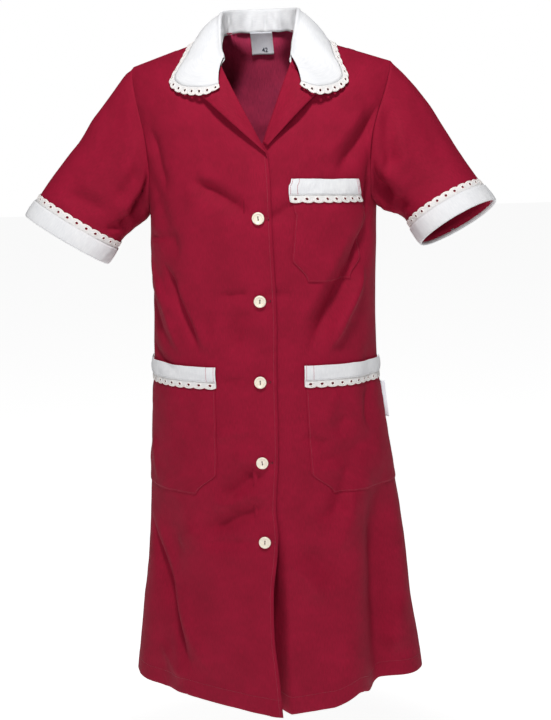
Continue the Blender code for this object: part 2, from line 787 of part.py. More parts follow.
def sleeve_points(shape, loop):
    """Rings of a sleeve, from its head in the armhole down to its hem inside the cuff."""
    hang = sleeve_frame(shape)[3]
    tip = len(loop) // 2
    ways = [0]
    for before, after in zip(loop, loop[1:] + loop[:1]):
        ways.append(ways[-1] + (after - before).length)
    rings = [[] for _ in range(len(SLEEVE_ROWS) + 3)]
    for k, head in enumerate(loop):
        if k <= tip:
            angle = math.pi * ways[k] / ways[tip]
        else:
            angle = math.pi * (1 + (ways[k] - ways[tip]) / (ways[-1] - ways[tip]))
        high = (1 - math.cos(angle)) / 2
        low_way = Vector((shape.low_way[0] * shape.side, 0, shape.low_way[1]))
        top_way = Vector((shape.top_way[0] * shape.side, 0, shape.top_way[1]))
        leave = (low_way.lerp(top_way, high) + Vector((0, -0.12 * math.sin(angle), 0))).normalized()
        start = head + leave * 0.7
        end = opening_point(shape, angle, CUFF + CUFF_TRIM + 3)
        reach = (end - start).length
        rings[0].append(start)
        for n, share in enumerate(SLEEVE_ROWS):
            square, cube = share**2, share**3
            rings[n + 1].append(
                start * (2 * cube - 3 * square + 1)
                + end * (3 * square - 2 * cube)
                + leave * reach * (cube - 2 * square + share)
                + hang * reach * (cube - square)
            )
        rings[-2].append(opening_point(shape, angle, CUFF))
        rings[-1].append(opening_point(shape, angle, CUFF_HEM_INSET))
    return [points + points[:1] for points in rings]


def cuff_points(shape):
    """Rings of a cuff, from its edge up to its sewn side, slightly crowned."""
    angles = [2 * math.pi * k / CUFF_SIDES for k in range(CUFF_SIDES)]
    out = 2 * SEAM + CUFF_WALL
    levels = ((0, 0), (CUFF / 2, 0.8), (CUFF, 0))
    rings = [[opening_point(shape, angle, above, out + crown) for angle in angles] for above, crown in levels]
    return [points + points[:1] for points in rings]


def cuff_trim_points(shape):
    """The trim above a cuff, its scallops pointing up the sleeve."""
    steps = CUFF_SCALLOPS * SCALLOP_STEPS
    sewn, free = [], []
    for k in range(steps):
        angle = 2 * math.pi * k / steps
        crest = CUFF_TRIM - SCALLOP_DEPTH * (1 - scallop(k / steps, CUFF_SCALLOPS))
        sewn.append(opening_point(shape, angle, CUFF + SEAM, SEAM + TRIM_WALL))
        free.append(opening_point(shape, angle, CUFF + crest, SEAM + TRIM_WALL))
    return [sewn + sewn[:1], free + free[:1]]


def button(number, z):
    """A button: a turned disc with a raised rim, held just off the right front."""
    x = 6 - 7.5 * smooth((BUTTON_TOP - z) / 300)
    lift = overlap_lift(-1, x)
    seat = moved_out(lambda x, z: chest(x, z, lift), x, z, SEAM + 0.2 + HALF_SEAM)
    facing = (moved_out(lambda x, z: chest(x, z, lift), x, z, 10) - seat).normalized()
    profile = (
        (0, 0.62), (0.55, 0.66), (0.68, 1.0), (0.88, 0.95), (1, 0.55), (0.93, 0.12), (0.75, 0), (0, 0)
    )
    mesh = bpy.data.meshes.new(f"button_{number}")
    bm = bmesh.new()
    spots = [bm.verts.new((r * BUTTON_RADIUS * MM, 0, h * BUTTON_THICKNESS * MM)) for r, h in profile]
    for before, after in zip(spots, spots[1:]):
        bm.edges.new((before, after))
    bm.to_mesh(mesh)
    bm.free()
    mesh.materials.append(cream)
    piece = bpy.data.objects.new(f"button_{number}", mesh)
    smock.objects.link(piece)
    turned = piece.modifiers.new("turned", "SCREW")
    turned.steps = turned.render_steps = BUTTON_SIDES
    turned.use_merge_vertices = True
    turned.merge_threshold = 0.00005
    turned.use_smooth_shade = True
    piece.matrix_world = Matrix.Translation(seat * MM) @ facing.to_track_quat("Z", "Y").to_matrix().to_4x4()


def neck_label():
    """The bare woven label that hangs inside the back from the neck seam."""
    width, cells = 34, 4
    levels = [LABEL_TOP - (LABEL_TOP - LABEL_FOOT) * k / cells for k in range(cells + 1)]
    points = []
    for z in levels:
        spots = [LABEL_MIDDLE - width / 2 + width * k / cells for k in range(cells + 1)]
        points.append([moved_out(lambda x, z: body(180 - turn_at(x, z), z), x, z, -LABEL_DEPTH) for x in spots])
    cloth("neck_label", points, white, LABEL_WALL, Vector((LABEL_MIDDLE, -40, -60)))


def side_label():
    """The bare folded tab caught in the left side seam below the pocket's band."""
    high, low, reach = -506, -560, 8
    lengths = 4
    points = []
    for k in range(lengths + 1):
        z = high + (low - high) * k / lengths
        seam = body(90, z)
        points.append([seam + Vector((1.0, 0.6, 0)), seam + Vector((1.0 + reach, -1.5, -0.5))])
    cloth("side_label", points, white, LABEL_WALL, Vector((0, 40, (high + low) / 2)))


for leftover in list(bpy.data.objects):
    bpy.data.objects.remove(leftover)

smock = bpy.data.collections.new("work_smock")
bpy.context.scene.collection.children.link(smock)
red = material("crimson_poplin", RED, 0.85)
white = material("white_poplin", WHITE, 0.8)
trim_white = material("eyelet_trim", TRIM_WHITE, 0.85)
cream = material("cream_button", CREAM, 0.35)

collar_rows = [SimpleNamespace(station=k, **vars(row)) for k, row in enumerate(COLLAR)]
left_front = front_grid(1, LEFT_EDGE, LEFT_LINES)
right_front = front_grid(-1, RIGHT_EDGE, RIGHT_LINES)
back = back_grid()
left_normals = grid_normals(left_front)
right_normals = grid_normals(right_front)

belly = Vector((0, 0, -400))
cloth("front_left", left_front, red, WALL, belly)
cloth("front_right", right_front, red, WALL, belly)
cloth("back", back, red, WALL, belly)

seam_column = len(left_front[0]) - 1
pocket_end = EDGE_CELLS + POCKET_CELLS
pocket("chest", left_front, left_normals, EDGE_CELLS, pocket_end, CHEST_POCKET_TOP, CHEST_POCKET_FOOT,
       ("left", "right"), 8)
pocket("hip_left", left_front, left_normals, EDGE_CELLS, seam_column, HIP_POCKET_TOP, HIP_POCKET_FOOT, ("left",), 11)
pocket("hip_right", right_front, right_normals, EDGE_CELLS, seam_column, HIP_POCKET_TOP, HIP_POCKET_FOOT,
       ("left",), 11)

for lapel_name, lapel_shape in LAPELS.items():
    lapel(lapel_name, lapel_shape)

last_station = len(COLLAR) - 1
collar_steps = last_station * COLLAR_STEPS
stations = [k / COLLAR_STEPS for k in range(collar_steps, 0, -1)]
sections = [collar_section(station, -1) for station in stations]
sections += [collar_section(station, 1) for station in [0, *reversed(stations)]]
cloth("collar", sections, white, WALL, Vector((NECK_CENTRE, 15, -300)))
cloth("collar_trim", collar_trim_points(), trim_white, TRIM_WALL, Vector((NECK_CENTRE, 15, -300)))

for sleeve_name, sleeve_shape in SLEEVES.items():
    front_points = left_front if sleeve_shape.side > 0 else right_front
    armhole = armhole_loop(front_points, back, sleeve_shape.side)
    core = Vector(sleeve_shape.middle) * 0.8
    opening = Vector(sleeve_shape.middle)
    cloth(f"sleeve_{sleeve_name}", sleeve_points(sleeve_shape, armhole), red, WALL, core, closed=True)
    cloth(f"cuff_{sleeve_name}", cuff_points(sleeve_shape), white, CUFF_WALL, opening, closed=True)
    cloth(f"cuff_trim_{sleeve_name}", cuff_trim_points(sleeve_shape), trim_white, TRIM_WALL, opening, closed=True)

for number in range(BUTTON_COUNT):
    button(number + 1, BUTTON_TOP - number * BUTTON_PITCH)

neck_label()
side_label()
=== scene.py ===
"""A women's work smock in crimson poplin, filled out as if worn, with white collar, cuffs and pocket bands edged in
eyelet trim. Tables are in millimetres, in the frame of the packed model: +Z up, the front facing -Y, +X to the
wearer's left, and the origin between the wearer's shoulders."""

import bisect
import math
from functools import lru_cache
from types import SimpleNamespace

import bmesh
import bpy
from mathutils import Matrix, Vector, noise


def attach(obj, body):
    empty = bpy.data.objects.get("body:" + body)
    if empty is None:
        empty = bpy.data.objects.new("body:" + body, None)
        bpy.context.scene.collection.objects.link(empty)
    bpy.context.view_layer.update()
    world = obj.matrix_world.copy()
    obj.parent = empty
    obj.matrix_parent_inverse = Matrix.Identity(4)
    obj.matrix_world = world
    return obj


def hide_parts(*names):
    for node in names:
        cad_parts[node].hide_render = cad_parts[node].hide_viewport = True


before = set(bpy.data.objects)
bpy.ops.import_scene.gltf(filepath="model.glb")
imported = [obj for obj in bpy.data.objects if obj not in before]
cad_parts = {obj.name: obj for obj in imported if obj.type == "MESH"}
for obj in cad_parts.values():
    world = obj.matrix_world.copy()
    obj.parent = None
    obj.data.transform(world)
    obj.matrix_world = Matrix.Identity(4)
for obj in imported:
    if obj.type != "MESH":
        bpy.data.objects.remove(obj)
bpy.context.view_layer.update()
MM = 0.001


# --- Crimson poplin ---------------------------------------------------------------------------------------------
# Plain-woven poly-cotton, piece-dyed and pressed. Its fine even threads give a soft, nearly matt face with a faint
# bloom where the cloth turns away. The real threads are 0.35 mm apart; they are drawn at 0.9 mm so that they show.

CRIMSON = "8f0c2d"
CRIMSON_DEEP = "7c0925"
THREAD = 0.9
WAVE = 0.314  # length of a wave texture's cycle at scale 1
SLUB_DRAWN = 0.12  # the threads' thick places are this much narrower than long


def linear(hex_colour):
    """An sRGB hex colour in linear light."""
    parts = [int(hex_colour[i : i + 2], 16) / 255 for i in (0, 2, 4)]
    return (*(c / 12.92 if c <= 0.04045 else ((c + 0.055) / 1.055) ** 2.4 for c in parts), 1)


def add(tree, kind, inputs=None, **settings):
    """A node with its settings, and its inputs set, or linked to a socket or to a node's first output."""
    made = tree.nodes.new(kind)
    for key, value in settings.items():
        setattr(made, key, value)
    for key, value in (inputs or {}).items():
        if isinstance(value, bpy.types.Node):
            value = value.outputs[0]
        if isinstance(value, bpy.types.NodeSocket):
            tree.links.new(value, made.inputs[key])
        else:
            made.inputs[key].default_value = value
    return made


def principled(name):
    """A new finish, its node tree and its shader."""
    finish = bpy.data.materials.new(name)
    finish.use_nodes = True
    return finish, finish.node_tree, finish.node_tree.nodes["Principled BSDF"]


def woven(name, light, deep, thread, roughness, sheen, depth):
    """A woven cloth, its threads running along the piece's own UV map, which is in metres."""
    finish, tree, shader = principled(name)
    cloth_map = add(tree, "ShaderNodeUVMap", uv_map="cloth")
    waves = {"Vector": cloth_map, "Scale": WAVE / (thread * MM), "Distortion": 0.6, "Detail": 1}
    warp, weft = (add(tree, "ShaderNodeTexWave", waves, bands_direction=way).outputs["Fac"] for way in "XY")
    weave = add(tree, "ShaderNodeMath", {0: warp, 1: weft}, operation="MULTIPLY")
    slub_map = add(tree, "ShaderNodeMapping", {"Vector": cloth_map, "Scale": (1, SLUB_DRAWN, 1)})
    slub = add(tree, "ShaderNodeTexNoise", {"Vector": slub_map, "Scale": 900, "Detail": 2})
    patch = add(tree, "ShaderNodeTexNoise", {"Vector": cloth_map, "Scale": 22, "Detail": 3, "Roughness": 0.6})
    mixed = add(tree, "ShaderNodeMath", {0: slub, 1: patch}, operation="ADD")
    spread = add(tree, "ShaderNodeMapRange", {"Value": mixed, "From Min": 0.7, "From Max": 1.3})
    tone = add(tree, "ShaderNodeMix", {"Factor": spread, "A": linear(deep), "B": linear(light)}, data_type="RGBA")
    tree.links.new(tone.outputs["Result"], shader.inputs["Base Color"])
    bumps = add(tree, "ShaderNodeMath", {0: weave, 1: slub}, operation="ADD")
    bump = add(tree, "ShaderNodeBump", {"Height": bumps, "Strength": depth, "Distance": 0.4 * MM})
    tree.links.new(bump.outputs["Normal"], shader.inputs["Normal"])
    shader.inputs["Roughness"].default_value = roughness
    shader.inputs["Specular IOR Level"].default_value = 0.15
    shader.inputs["Sheen Weight"].default_value = sheen
    shader.inputs["Sheen Roughness"].default_value = 0.4
    shader.inputs["Sheen Tint"].default_value = linear(light)
    return finish


crimson = woven("crimson_poplin_weave", CRIMSON, CRIMSON_DEEP, THREAD, 0.8, 0.06, 0.35)
# Its wrong side, seen through the neck: unpressed, so paler and more open, and made lighter still as painted light
# that stands in for light reaching inside the back
crimson_wrong_side_painted_light = woven("crimson_poplin_wrong_side_painted_light", "a82c4c", "842440", 1.3, 0.9, 0.3, 0.6)


# --- The two fronts ----------------------------------------------------------------------------------------------
# Each front is one width of crimson poplin, cut flaring to the hem, and hangs from its shoulder seam. The right one
# buttons over the left and stands a little away from it below the last button.

HEM = -974
HEM_CLIMB = 16  # the hem is this much higher at the side seams
HEM_TURNED = 25  # depth of the turned-up hem
HEM_EVEN = -850  # the hem line's unevenness fades out up to here
HEM_FADE = 120
ARMPIT = -245
NECK_CENTRE = 4
NECK_HALF = 51
NECK_POINT_Z = 2
NECK_RISE = 1.95
NECK_BLEND = 5
NECK_SHELF = 6
SHOULDER_SLOPE = 0.322
SHOULDER_Y = 6
SHOULDER_ROUND = 80  # radius that the cloth bends over at the shoulder
RIGHT_RAISED = 4.5  # the right shoulder sits this much higher than the left
SEAM = 0.15
SEAM_ALLOWANCE = 4
CLOTH = 0.7
OVERLAP_LIFT = 2.4  # the right front stands this far off the left one
OVERLAP_SPREAD = 3  # and this much more below the last button
OVERLAP_OUTER = -70
OVERLAP_INNER = -15
UNDER_SUNK = 26  # the left front's edge sinks back this far below the last button
UNDER_EDGE = 10
UNDER_WIDE = 18
OPEN_FROM = -650  # where the fronts begin to part
OPEN_OVER = 170
TRUNK = Vector((0, 0, -400))  # a place inside the body
FRONT_COLUMNS = 80
ROW_STEP = 4
SHOULDER_ROWS = 10
MM_PER_DEGREE = 2.9  # way round the body for a degree of turn


def table(columns, *rows):
    """Rows of numbers as records with the named columns."""
    names = columns.split()
    return [SimpleNamespace(**dict(zip(names, row))) for row in rows]


# Level rings round the body: sideways shift, half width, depth of front and back, and squareness
BODY = table(
    "z centre half front back square",
    (-985, -4, 226, 150, 144, 1.75),
    (-915, -3, 217, 147, 139, 1.85),
    (-840, -3, 206, 142, 133, 1.95),
    (-765, 0, 197, 138, 127, 2.0),
    (-690, -1, 189, 134, 120, 2.05),
    (-600, -3.5, 178.5, 129, 111, 2.1),
    (-500, -6, 168, 123, 100, 2.15),
    (-420, -5, 164.5, 119, 94, 2.2),
    (-360, -3.5, 164, 122, 96, 2.25),
    (-300, -2, 165, 126, 101, 2.3),
    (-245, 0, 165, 125, 105, 2.3),
    (-200, 1, 170, 120, 107, 2.3),
    (-160, 2, 176, 113, 108, 2.3),
    (-120, 3, 184, 103, 107, 2.3),
    (-80, 4, 190, 90, 104, 2.3),
    (-40, 4, 195, 74, 97, 2.3),
    (0, 4, 200, 58, 88, 2.3),
    (45, 4, 204, 44, 78, 2.3),
)

# Half width of the cloth at the armhole seam, front and back
ARMHOLE = table(
    "z front back",
    (-245, 165.0, 165.0),
    (-240, 164.5, 165.0),
    (-229, 162.5, 164.5),
    (-207, 160.0, 164.0),
    (-183, 158.5, 165.0),
    (-160, 159.0, 168.0),
    (-136, 162.0, 171.5),
    (-114, 167.0, 175.0),
    (-94, 173.0, 178.5),
    (-76, 178.5, 181.5),
    (-62, 182.0, 183.5),
    (-50, 184.5, 185.0),
    (-40, 185.5, 185.5),
)

RIGHT_EDGE = table(
    "z x",
    (-985, 17),
    (-918, 13),
    (-858, 8),
    (-801, 8),
    (-772, 10),
    (-737, 15),
    (-702, 18),
    (-667, 16),
    (-633, 18),
    (-581, 22),
    (-472, 23),
    (-385, 26),
    (-277, 25),
    (-194, 24),
    (-163, 22),
    (-147, 12),
    (-37, -45),
    (-22, -46.5),
    (50, NECK_CENTRE - NECK_HALF),
)
LEFT_EDGE = table(
    "z x",
    (-985, -14),
    (-214, -14),
    (-147, 13),
    (-37, 53),
    (-22, 54.5),
    (50, NECK_CENTRE + NECK_HALF),
)

# How unevenly the hem hangs, in millimetres above its level
HEM_LINE = table(
    "turn rise",
    (-90, 2),
    (-55, 0),
    (-44, 6),
    (-38, 9),
    (-30, 7),
    (-14, 6),
    (-3, 3),
    (3, 0),
    (12, -2),
    (20, -3),
    (28, -1),
    (32, 4),
    (36, 9),
    (39, 12),
    (42, 9),
    (46, 2),
    (50, 2),
    (57, 7),
    (65, 7),
    (80, 4),
    (90, 2),
    (110, 0),
    (250, 0),
    (270, 2),
)

# Courses of the cloth: height at the front edge, height at the seam, and how far each follows the shoulder line
COURSES = table(
    "z seam_z follow",
    (HEM, HEM + HEM_CLIMB, 0),
    (-900, -895, 0),
    (-800, -800, 0),
    (-643, -651, 0),
    (-456, -464, 0),
    (-420, -425, 0),
    (-378, -382, 0),
    (-335, -345, 0),
    (-303, -313, 0),
    (-270, -278, 0),
    (-243, ARMPIT, 0),
    (-224, -236, 0),
    (-213, -224, 0),
    (-193, -203, 0),
    (-163, -180, 0.1),
    (-147, -158, 0.2),
    (-120, -136, 0.4),
    (-92, -114, 0.6),
    (-63, -94, 0.8),
    (-37, -76, 1),
    (-22, -62, 1),
    (-11, -50, 1),
    (50, 50, 1),
)

# Folds that grow down the skirt or cross the waist. Turns are degrees round the body from the middle front, +90 at
# the wearer's left side; width and height are across the cloth, hold is how much of the height is left at the foot
FOLDS = table(
    "top_turn top_z foot_turn foot_z width height hold",
    (46, -560, 33, -990, 24, 3, 1),
    (66, -600, 55, -990, 38, -37, 1),
    (30, -640, 20, -990, 26, -6, 1),
    (84, -150, 60, -370, 20, -4, 0),
    (62, -330, 30, -450, 15, 4, 0),
    (72, -420, 58, -640, 20, -5, 0),
    (-88, -340, -45, -450, 14, -5, 0),
    (-80, -300, -40, -400, 14, 4, 0),
    (-50, -620, -54, -990, 34, -15, 1),
    (-34, -650, -28, -990, 26, -4, 1),
    (-66, -150, -40, -330, 18, -4, 0),
    (112, -560, 118, -990, 26, 12, 1),
    (134, -600, 140, -990, 26, -12, 1),
    (154, -520, 160, -990, 28, 11, 1),
    (180, -600, 184, -990, 28, -9, 1),
    (206, -540, 204, -990, 28, 12, 1),
    (228, -600, 226, -990, 26, -12, 1),
    (248, -560, 244, -990, 26, 11, 1),
    (128, -170, 160, -400, 20, -5, 0),
    (232, -170, 200, -400, 20, -5, 0),
    (100, -350, 150, -470, 16, 4, 0),
    (260, -350, 212, -470, 16, 4, 0),
)

# Creases: soft troughs (height below 0) and ridges, each from one end to the other with its middle bowed sideways
CREASES = table(
    "turn_a z_a turn_b z_b bow width height",
    (-30, -192, 0, -245, -7, 11.5, -14),  # the drag line from the top button
    (-26, -184, -4, -232, -7, 8.8, 3.6),
    (2, -252, 17, -222, 3, 5.9, -5.4),
    (-53, -115, -47, -215, 4, 12.8, -7.2),
    (-74, -276, -44, -273, 0, 3.9, -3.6),  # the bust dart
    (-46, -262, -38, -300, 3, 11.9, -4.5),
    (-54, -305, -27, -445, -4, 7.8, -10.2),
    (-46, -330, -20, -450, -4, 9.9, 5.8),
    (-64, -330, -40, -448, 0, 8.8, 4.5),
    (76, -245, 22, -450, 10, 13.8, -14),
    (68, -320, 34, -448, 8, 8.8, 10.2),
    (50, -270, 14, -430, 6, 13.8, 5.4),
    (64, -100, 36, -190, -6, 13.8, -10.2),
    (52, -96, 26, -176, -4, 13.8, 4.1),
    (71, -130, 68, -262, 4, 9, -16),
    (-16, -354, 0, -349, 2, 4.9, -4.9),
    (18, -356, 2, -350, -1, 4.9, -3.2),
    (-3, -370, -10, -440, 3, 7.8, -5.8),
    (5, -372, 3, -440, 2, 7.8, 3.6),
    (-14, -380, -22, -446, 3, 7.8, 4.1),
    (-18, -478, -2, -476, 1, 4.9, -3.6),
    (0, -596, -20, -652, -6, 11.5, -13),  # drag lines round the fourth button
    (-1, -545, -22, -566, 4, 7.8, 5.4),
    (4, -570, -12, -600, 4, 8.8, 4.5),
    (5, -652, -34, -714, 3, 13, -12.5),
    (4, -632, -25, -670, 3, 9.9, 7.6),
    (-32, -722, -1, -712, -2, 6.9, -6.3),
    (-30, -696, -48, -730, 0, 9.9, 4.5),
    (-76, -690, -34, -940, -6, 8.8, -12.3),
    (-66, -700, -26, -930, -4, 11.9, 5.8),
    (-60, -890, -36, -945, 4, 11.9, 5.4),
    (18, -560, 34, -575, 0, 7.4, -4.9),
    (20, -604, 62, -572, 2, 14, -5.5),
    (18, -606, 42, -612, 0, 8.9, 3.9),
    (47, -590, 30, -690, 3, 15, -8),
    (20, -678, 42, -668, 4, 13.2, -6.8),
    (44, -640, 31, -745, 2, 11.7, 7.5),
    (30, -640, 24, -700, 2, 13.2, 3.2),
    (6, -730, 25, -812, -4, 9.9, 7.6),
    (14, -716, 32, -790, -4, 8.8, -5.4),
    (41, -495, 31, -552, 2, 11.7, 4.9),
    (46, -530, 37, -568, 2, 10.4, -4.5),
    (68, -500, 60, -560, 3, 7.8, -4.5),
    (75, -830, 66, -930, 2, 11.9, 8.1),
    (-70, -560, -60, -640, 3, 9.9, 3.6),
    (-80, -430, -40, -470, 3, 6.9, -4.5),
    (12, -120, 26, -190, 2, 13.8, 3.6),
    (-14, -170, -34, -240, 3, 13.8, 3.2),
    (106, -120, 124, -236, 6, 13.8, -11.2),
    (126, -90, 142, -210, 4, 15.8, 5.4),
    (252, -120, 236, -240, -6, 13.8, -10.4),
    (232, -96, 220, -214, -4, 15.8, 4.9),
    (96, -300, 132, -430, 4, 11.9, -13.5),
    (112, -300, 146, -424, 6, 10.9, 7.2),
    (262, -310, 226, -436, -4, 11.9, -12.6),
    (246, -300, 210, -420, -6, 10.9, 6.8),
    (150, -372, 206, -380, 6, 8.8, -5.8),
    (140, -410, 214, -404, -5, 7.8, 4.5),
    (172, -60, 186, -150, 4, 15.8, -4.1),
    (166, -420, 150, -560, -4, 10.9, -7.2),
    (196, -430, 212, -570, 4, 10.9, -6.8),
    (182, -450, 178, -620, 3, 11.9, 4.9),
    (122, -640, 132, -800, 4, 11.9, -8.1),
    (170, -660, 160, -860, -6, 12.8, -7.6),
    (214, -680, 222, -870, 5, 11.9, 7.2),
    (240, -620, 232, -760, -4, 10.9, -7.6),
    (192, -760, 200, -930, 4, 12.8, -6.8),
    (146, -800, 138, -940, -4, 11.9, 6.3),
)


def power(value, exponent):
    """A power that keeps its number's sign."""
    return math.copysign(abs(value) ** exponent, value)


def smooth(value):
    """0 below 0 and 1 above 1, with a soft change between."""
    value = min(1, max(0, value))
    return value * value * (3 - 2 * value)


def span(rows, key, at):
    """The table row below a value of the key column, and the share of the way to the next."""
    k = 0
    while k < len(rows) - 2 and at > getattr(rows[k + 1], key):
        k += 1
    low, high = getattr(rows[k], key), getattr(rows[k + 1], key)
    return k, min(1, max(0, (at - low) / (high - low)))


def straight(rows, key, at, column):
    """A column's value on straight lines between the rows."""
    k, share = span(rows, key, at)
    low, high = getattr(rows[k], column), getattr(rows[k + 1], column)
    return low + (high - low) * share


def eased(low, high, leave, arrive, share):
    """The smooth way from low to high that leaves and arrives as given."""
    square, cube = share**2, share**3
    return (
        low * (2 * cube - 3 * square + 1)
        + high * (3 * square - 2 * cube)
        + leave * (cube - 2 * square + share)
        + arrive * (cube - square)
    )


def curved(rows, key, at, column):
    """A column's value on a smooth curve through the rows."""
    k, share = span(rows, key, at)

    def slope(i):
        before, after = max(0, i - 1), min(len(rows) - 1, i + 1)
        rise = getattr(rows[after], column) - getattr(rows[before], column)
        return rise / (getattr(rows[after], key) - getattr(rows[before], key))

    low, high = getattr(rows[k], column), getattr(rows[k + 1], column)
    width = getattr(rows[k + 1], key) - getattr(rows[k], key)
    return eased(low, high, slope(k) * width, slope(k + 1) * width, share)


RING = ("centre", "half", "front", "back", "square")


@lru_cache(None)
def whole_ring(z):
    """The body's level ring at a whole millimetre of height."""
    return [curved(BODY, "z", z, name) for name in RING]


def ring(z):
    """The body's level ring at a height."""
    low = math.floor(z)
    values = [a + (b - a) * (z - low) for a, b in zip(whole_ring(low), whole_ring(low + 1))]
    return SimpleNamespace(**dict(zip(RING, values)))


def shoulder_line(x):
    """Height of the shoulder seam, and inside the neck of the arch that the neckline hangs from."""
    out = abs(x - NECK_CENTRE) - NECK_HALF
    inside = NECK_BLEND * math.log1p(math.exp(-(out + NECK_SHELF) / NECK_BLEND))
    arch = inside - inside**2 / (2 * (NECK_HALF - NECK_SHELF))
    raised = RIGHT_RAISED * smooth((NECK_CENTRE - NECK_HALF - x) / 40)
    return NECK_POINT_Z - SHOULDER_SLOPE * (out + inside) + NECK_RISE * arch + raised


def climb(drop):
    """Way along the cloth for a drop below the shoulder line."""
    if drop > SHOULDER_ROUND:
        return SHOULDER_ROUND - drop
    return SHOULDER_ROUND * math.asin(1 - max(0, drop) / SHOULDER_ROUND)


def fall(way):
    """The drop below the shoulder line for a way along the cloth."""
    if way < 0:
        return SHOULDER_ROUND - way
    return SHOULDER_ROUND * (1 - math.sin(way / SHOULDER_ROUND))


SHOULDER_WAY = climb(0)


def turn_from(turn, start):
    """How far a turn is from another, between -180 and 180 degrees."""
    return (turn - start + 180) % 360 - 180


def fold_height(turn, z, level):
    """How far the folds move the cloth out at a turn and a height."""
    total = 0
    per_degree = math.radians(level.half + level.front) / 2
    for fold in FOLDS:
        share = (z - fold.top_z) / (fold.foot_z - fold.top_z)
        if not 0 < share < 1:
            continue
        middle = fold.top_turn + (fold.foot_turn - fold.top_turn) * share
        away = turn_from(turn, middle) * per_degree
        if abs(away) > 3 * fold.width:
            continue
        strength = smooth(share / 0.4) * (1 - (1 - fold.hold) * smooth((share - 0.6) / 0.4))
        total += fold.height * strength * math.exp(-((away / fold.width) ** 2))
    return total


def body(turn, z, lift=0):
    """The cloth's outer side at a turn about the body and a height."""
    level = ring(z)
    angle = math.radians(turn)
    side, ahead = math.sin(angle), math.cos(angle)
    x = level.centre + level.half * power(side, 2 / level.square)
    depth = level.front if ahead > 0 else level.back
    y = -depth * power(ahead, 2 / level.square)
    outward = Vector((depth * side, -level.half * ahead)).normalized()
    moved = lift + fold_height(turn, z, level)
    x += outward.x * moved
    y += outward.y * moved
    drop = shoulder_line(x) - z
    if drop < SHOULDER_ROUND:
        y = SHOULDER_Y + (y - SHOULDER_Y) * math.cos(climb(drop) / SHOULDER_ROUND)
    return Vector((x, y, z))


def turn_at(x, z):
    """The turn, between -90 and 90 degrees, at which the body's ring reaches a sideways place."""
    level = ring(z)
    share = min(1, max(-1, (x - level.centre) / level.half))
    return math.degrees(math.asin(power(share, level.square / 2)))


def beside(px, pz, dx, dz):
    """For a place given from a line's start: its share of the way along the line, and how far beside it lies."""
    length = math.hypot(dx, dz)
    return (px * dx + pz * dz) / length**2, (px * dz - pz * dx) / length


def taper(share):
    """A crease's strength along it, fading out over three tenths at each end."""
    return smooth(share / 0.3) * smooth((1 - share) / 0.3)


def crease_height(turn, z):
    """How far the creases move the cloth out."""
    total = 0
    for crease in CREASES:
        dx = crease.turn_b * MM_PER_DEGREE - crease.turn_a * MM_PER_DEGREE
        px = turn_from(turn, crease.turn_a) * MM_PER_DEGREE
        share, away = beside(px, z - crease.z_a, dx, crease.z_b - crease.z_a)
        if not 0 < share < 1:
            continue
        away -= crease.bow * 4 * share * (1 - share)
        width = crease.width * (0.75 + 0.5 * math.sin(math.pi * share))
        if abs(away) < 3 * width:
            total += crease.height * taper(share) * math.exp(-(abs(away / width) ** 1.5))
    return total


def crumple(a, b, seed, size):
    """Small unevenness of worn cloth, from about -1 to 1."""
    fine = size / 2.3
    coarse = noise.noise(Vector((a / size, b / size, seed)))
    return coarse + 0.5 * noise.noise(Vector((a / fine, b / fine, seed)))


def worn(turn, z, calm, seed, size, hem_seed):
    """How far wear moves the cloth out: creases and crumples where it isn't calm, and the hem's pucker."""
    round_way = turn * MM_PER_DEGREE
    hem = 1 - smooth((z - HEM) / 40)
    return calm * (crease_height(turn, z) + 0.9 * crumple(round_way, z, seed, size)) + (
        0.35 * crumple(round_way, z, hem_seed, 11) * hem
    )


def overlap_lift(side, x, z):
    """How far the right front stands out over the left one, and how far the left one sinks behind it."""
    below = smooth((OPEN_FROM - z) / OPEN_OVER)
    if side > 0:
        return -UNDER_SUNK * below * (1 - min(1, max(0, (x - UNDER_EDGE) / UNDER_WIDE)))
    reach = smooth((x - OVERLAP_OUTER) / (OVERLAP_INNER - OVERLAP_OUTER))
    return (OVERLAP_LIFT + OVERLAP_SPREAD * below) * reach


def seam_turn(z, face):
    """The turn of the side seam or armhole from the middle of its own panel."""
    if z <= ARMPIT:
        return 90
    level = ring(min(z, ARMHOLE[-1].z))
    share = curved(ARMHOLE, "z", z, face) / level.half
    return math.degrees(math.asin(min(1, share) ** (level.square / 2)))


def seam_place(row, side, face):
    """Turn, height and way up of a course's end at the seam."""
    turn = seam_turn(row.seam_z, face)
    z = min(row.seam_z, ARMHOLE[-1].z)
    x = body(side * turn, z).x
    if row.seam_z > z:
        foot = climb(shoulder_line(x) - z)
        way = foot + (SHOULDER_WAY - foot) * smooth((row.seam_z - z) / 12)
        return turn, shoulder_line(x) - fall(way), way
    return turn, z, climb(shoulder_line(x) - z)


def fine_courses():
    """The courses with more laid between them, about as far apart as the columns of the cloth."""
    fine = []
    for low, high in zip(COURSES, COURSES[1:]):
        steps = SHOULDER_ROWS if high is COURSES[-1] else math.ceil((high.z - low.z) / ROW_STEP)
        for k in range(steps):
            share = k / steps
            values = {name: value + (getattr(high, name) - value) * share for name, value in vars(low).items()}
            fine.append(SimpleNamespace(**values))
    return fine + [COURSES[-1]]


FINE = fine_courses()
ARMPIT_ROW = min(range(len(FINE)), key=lambda k: abs(FINE[k].seam_z - ARMPIT))


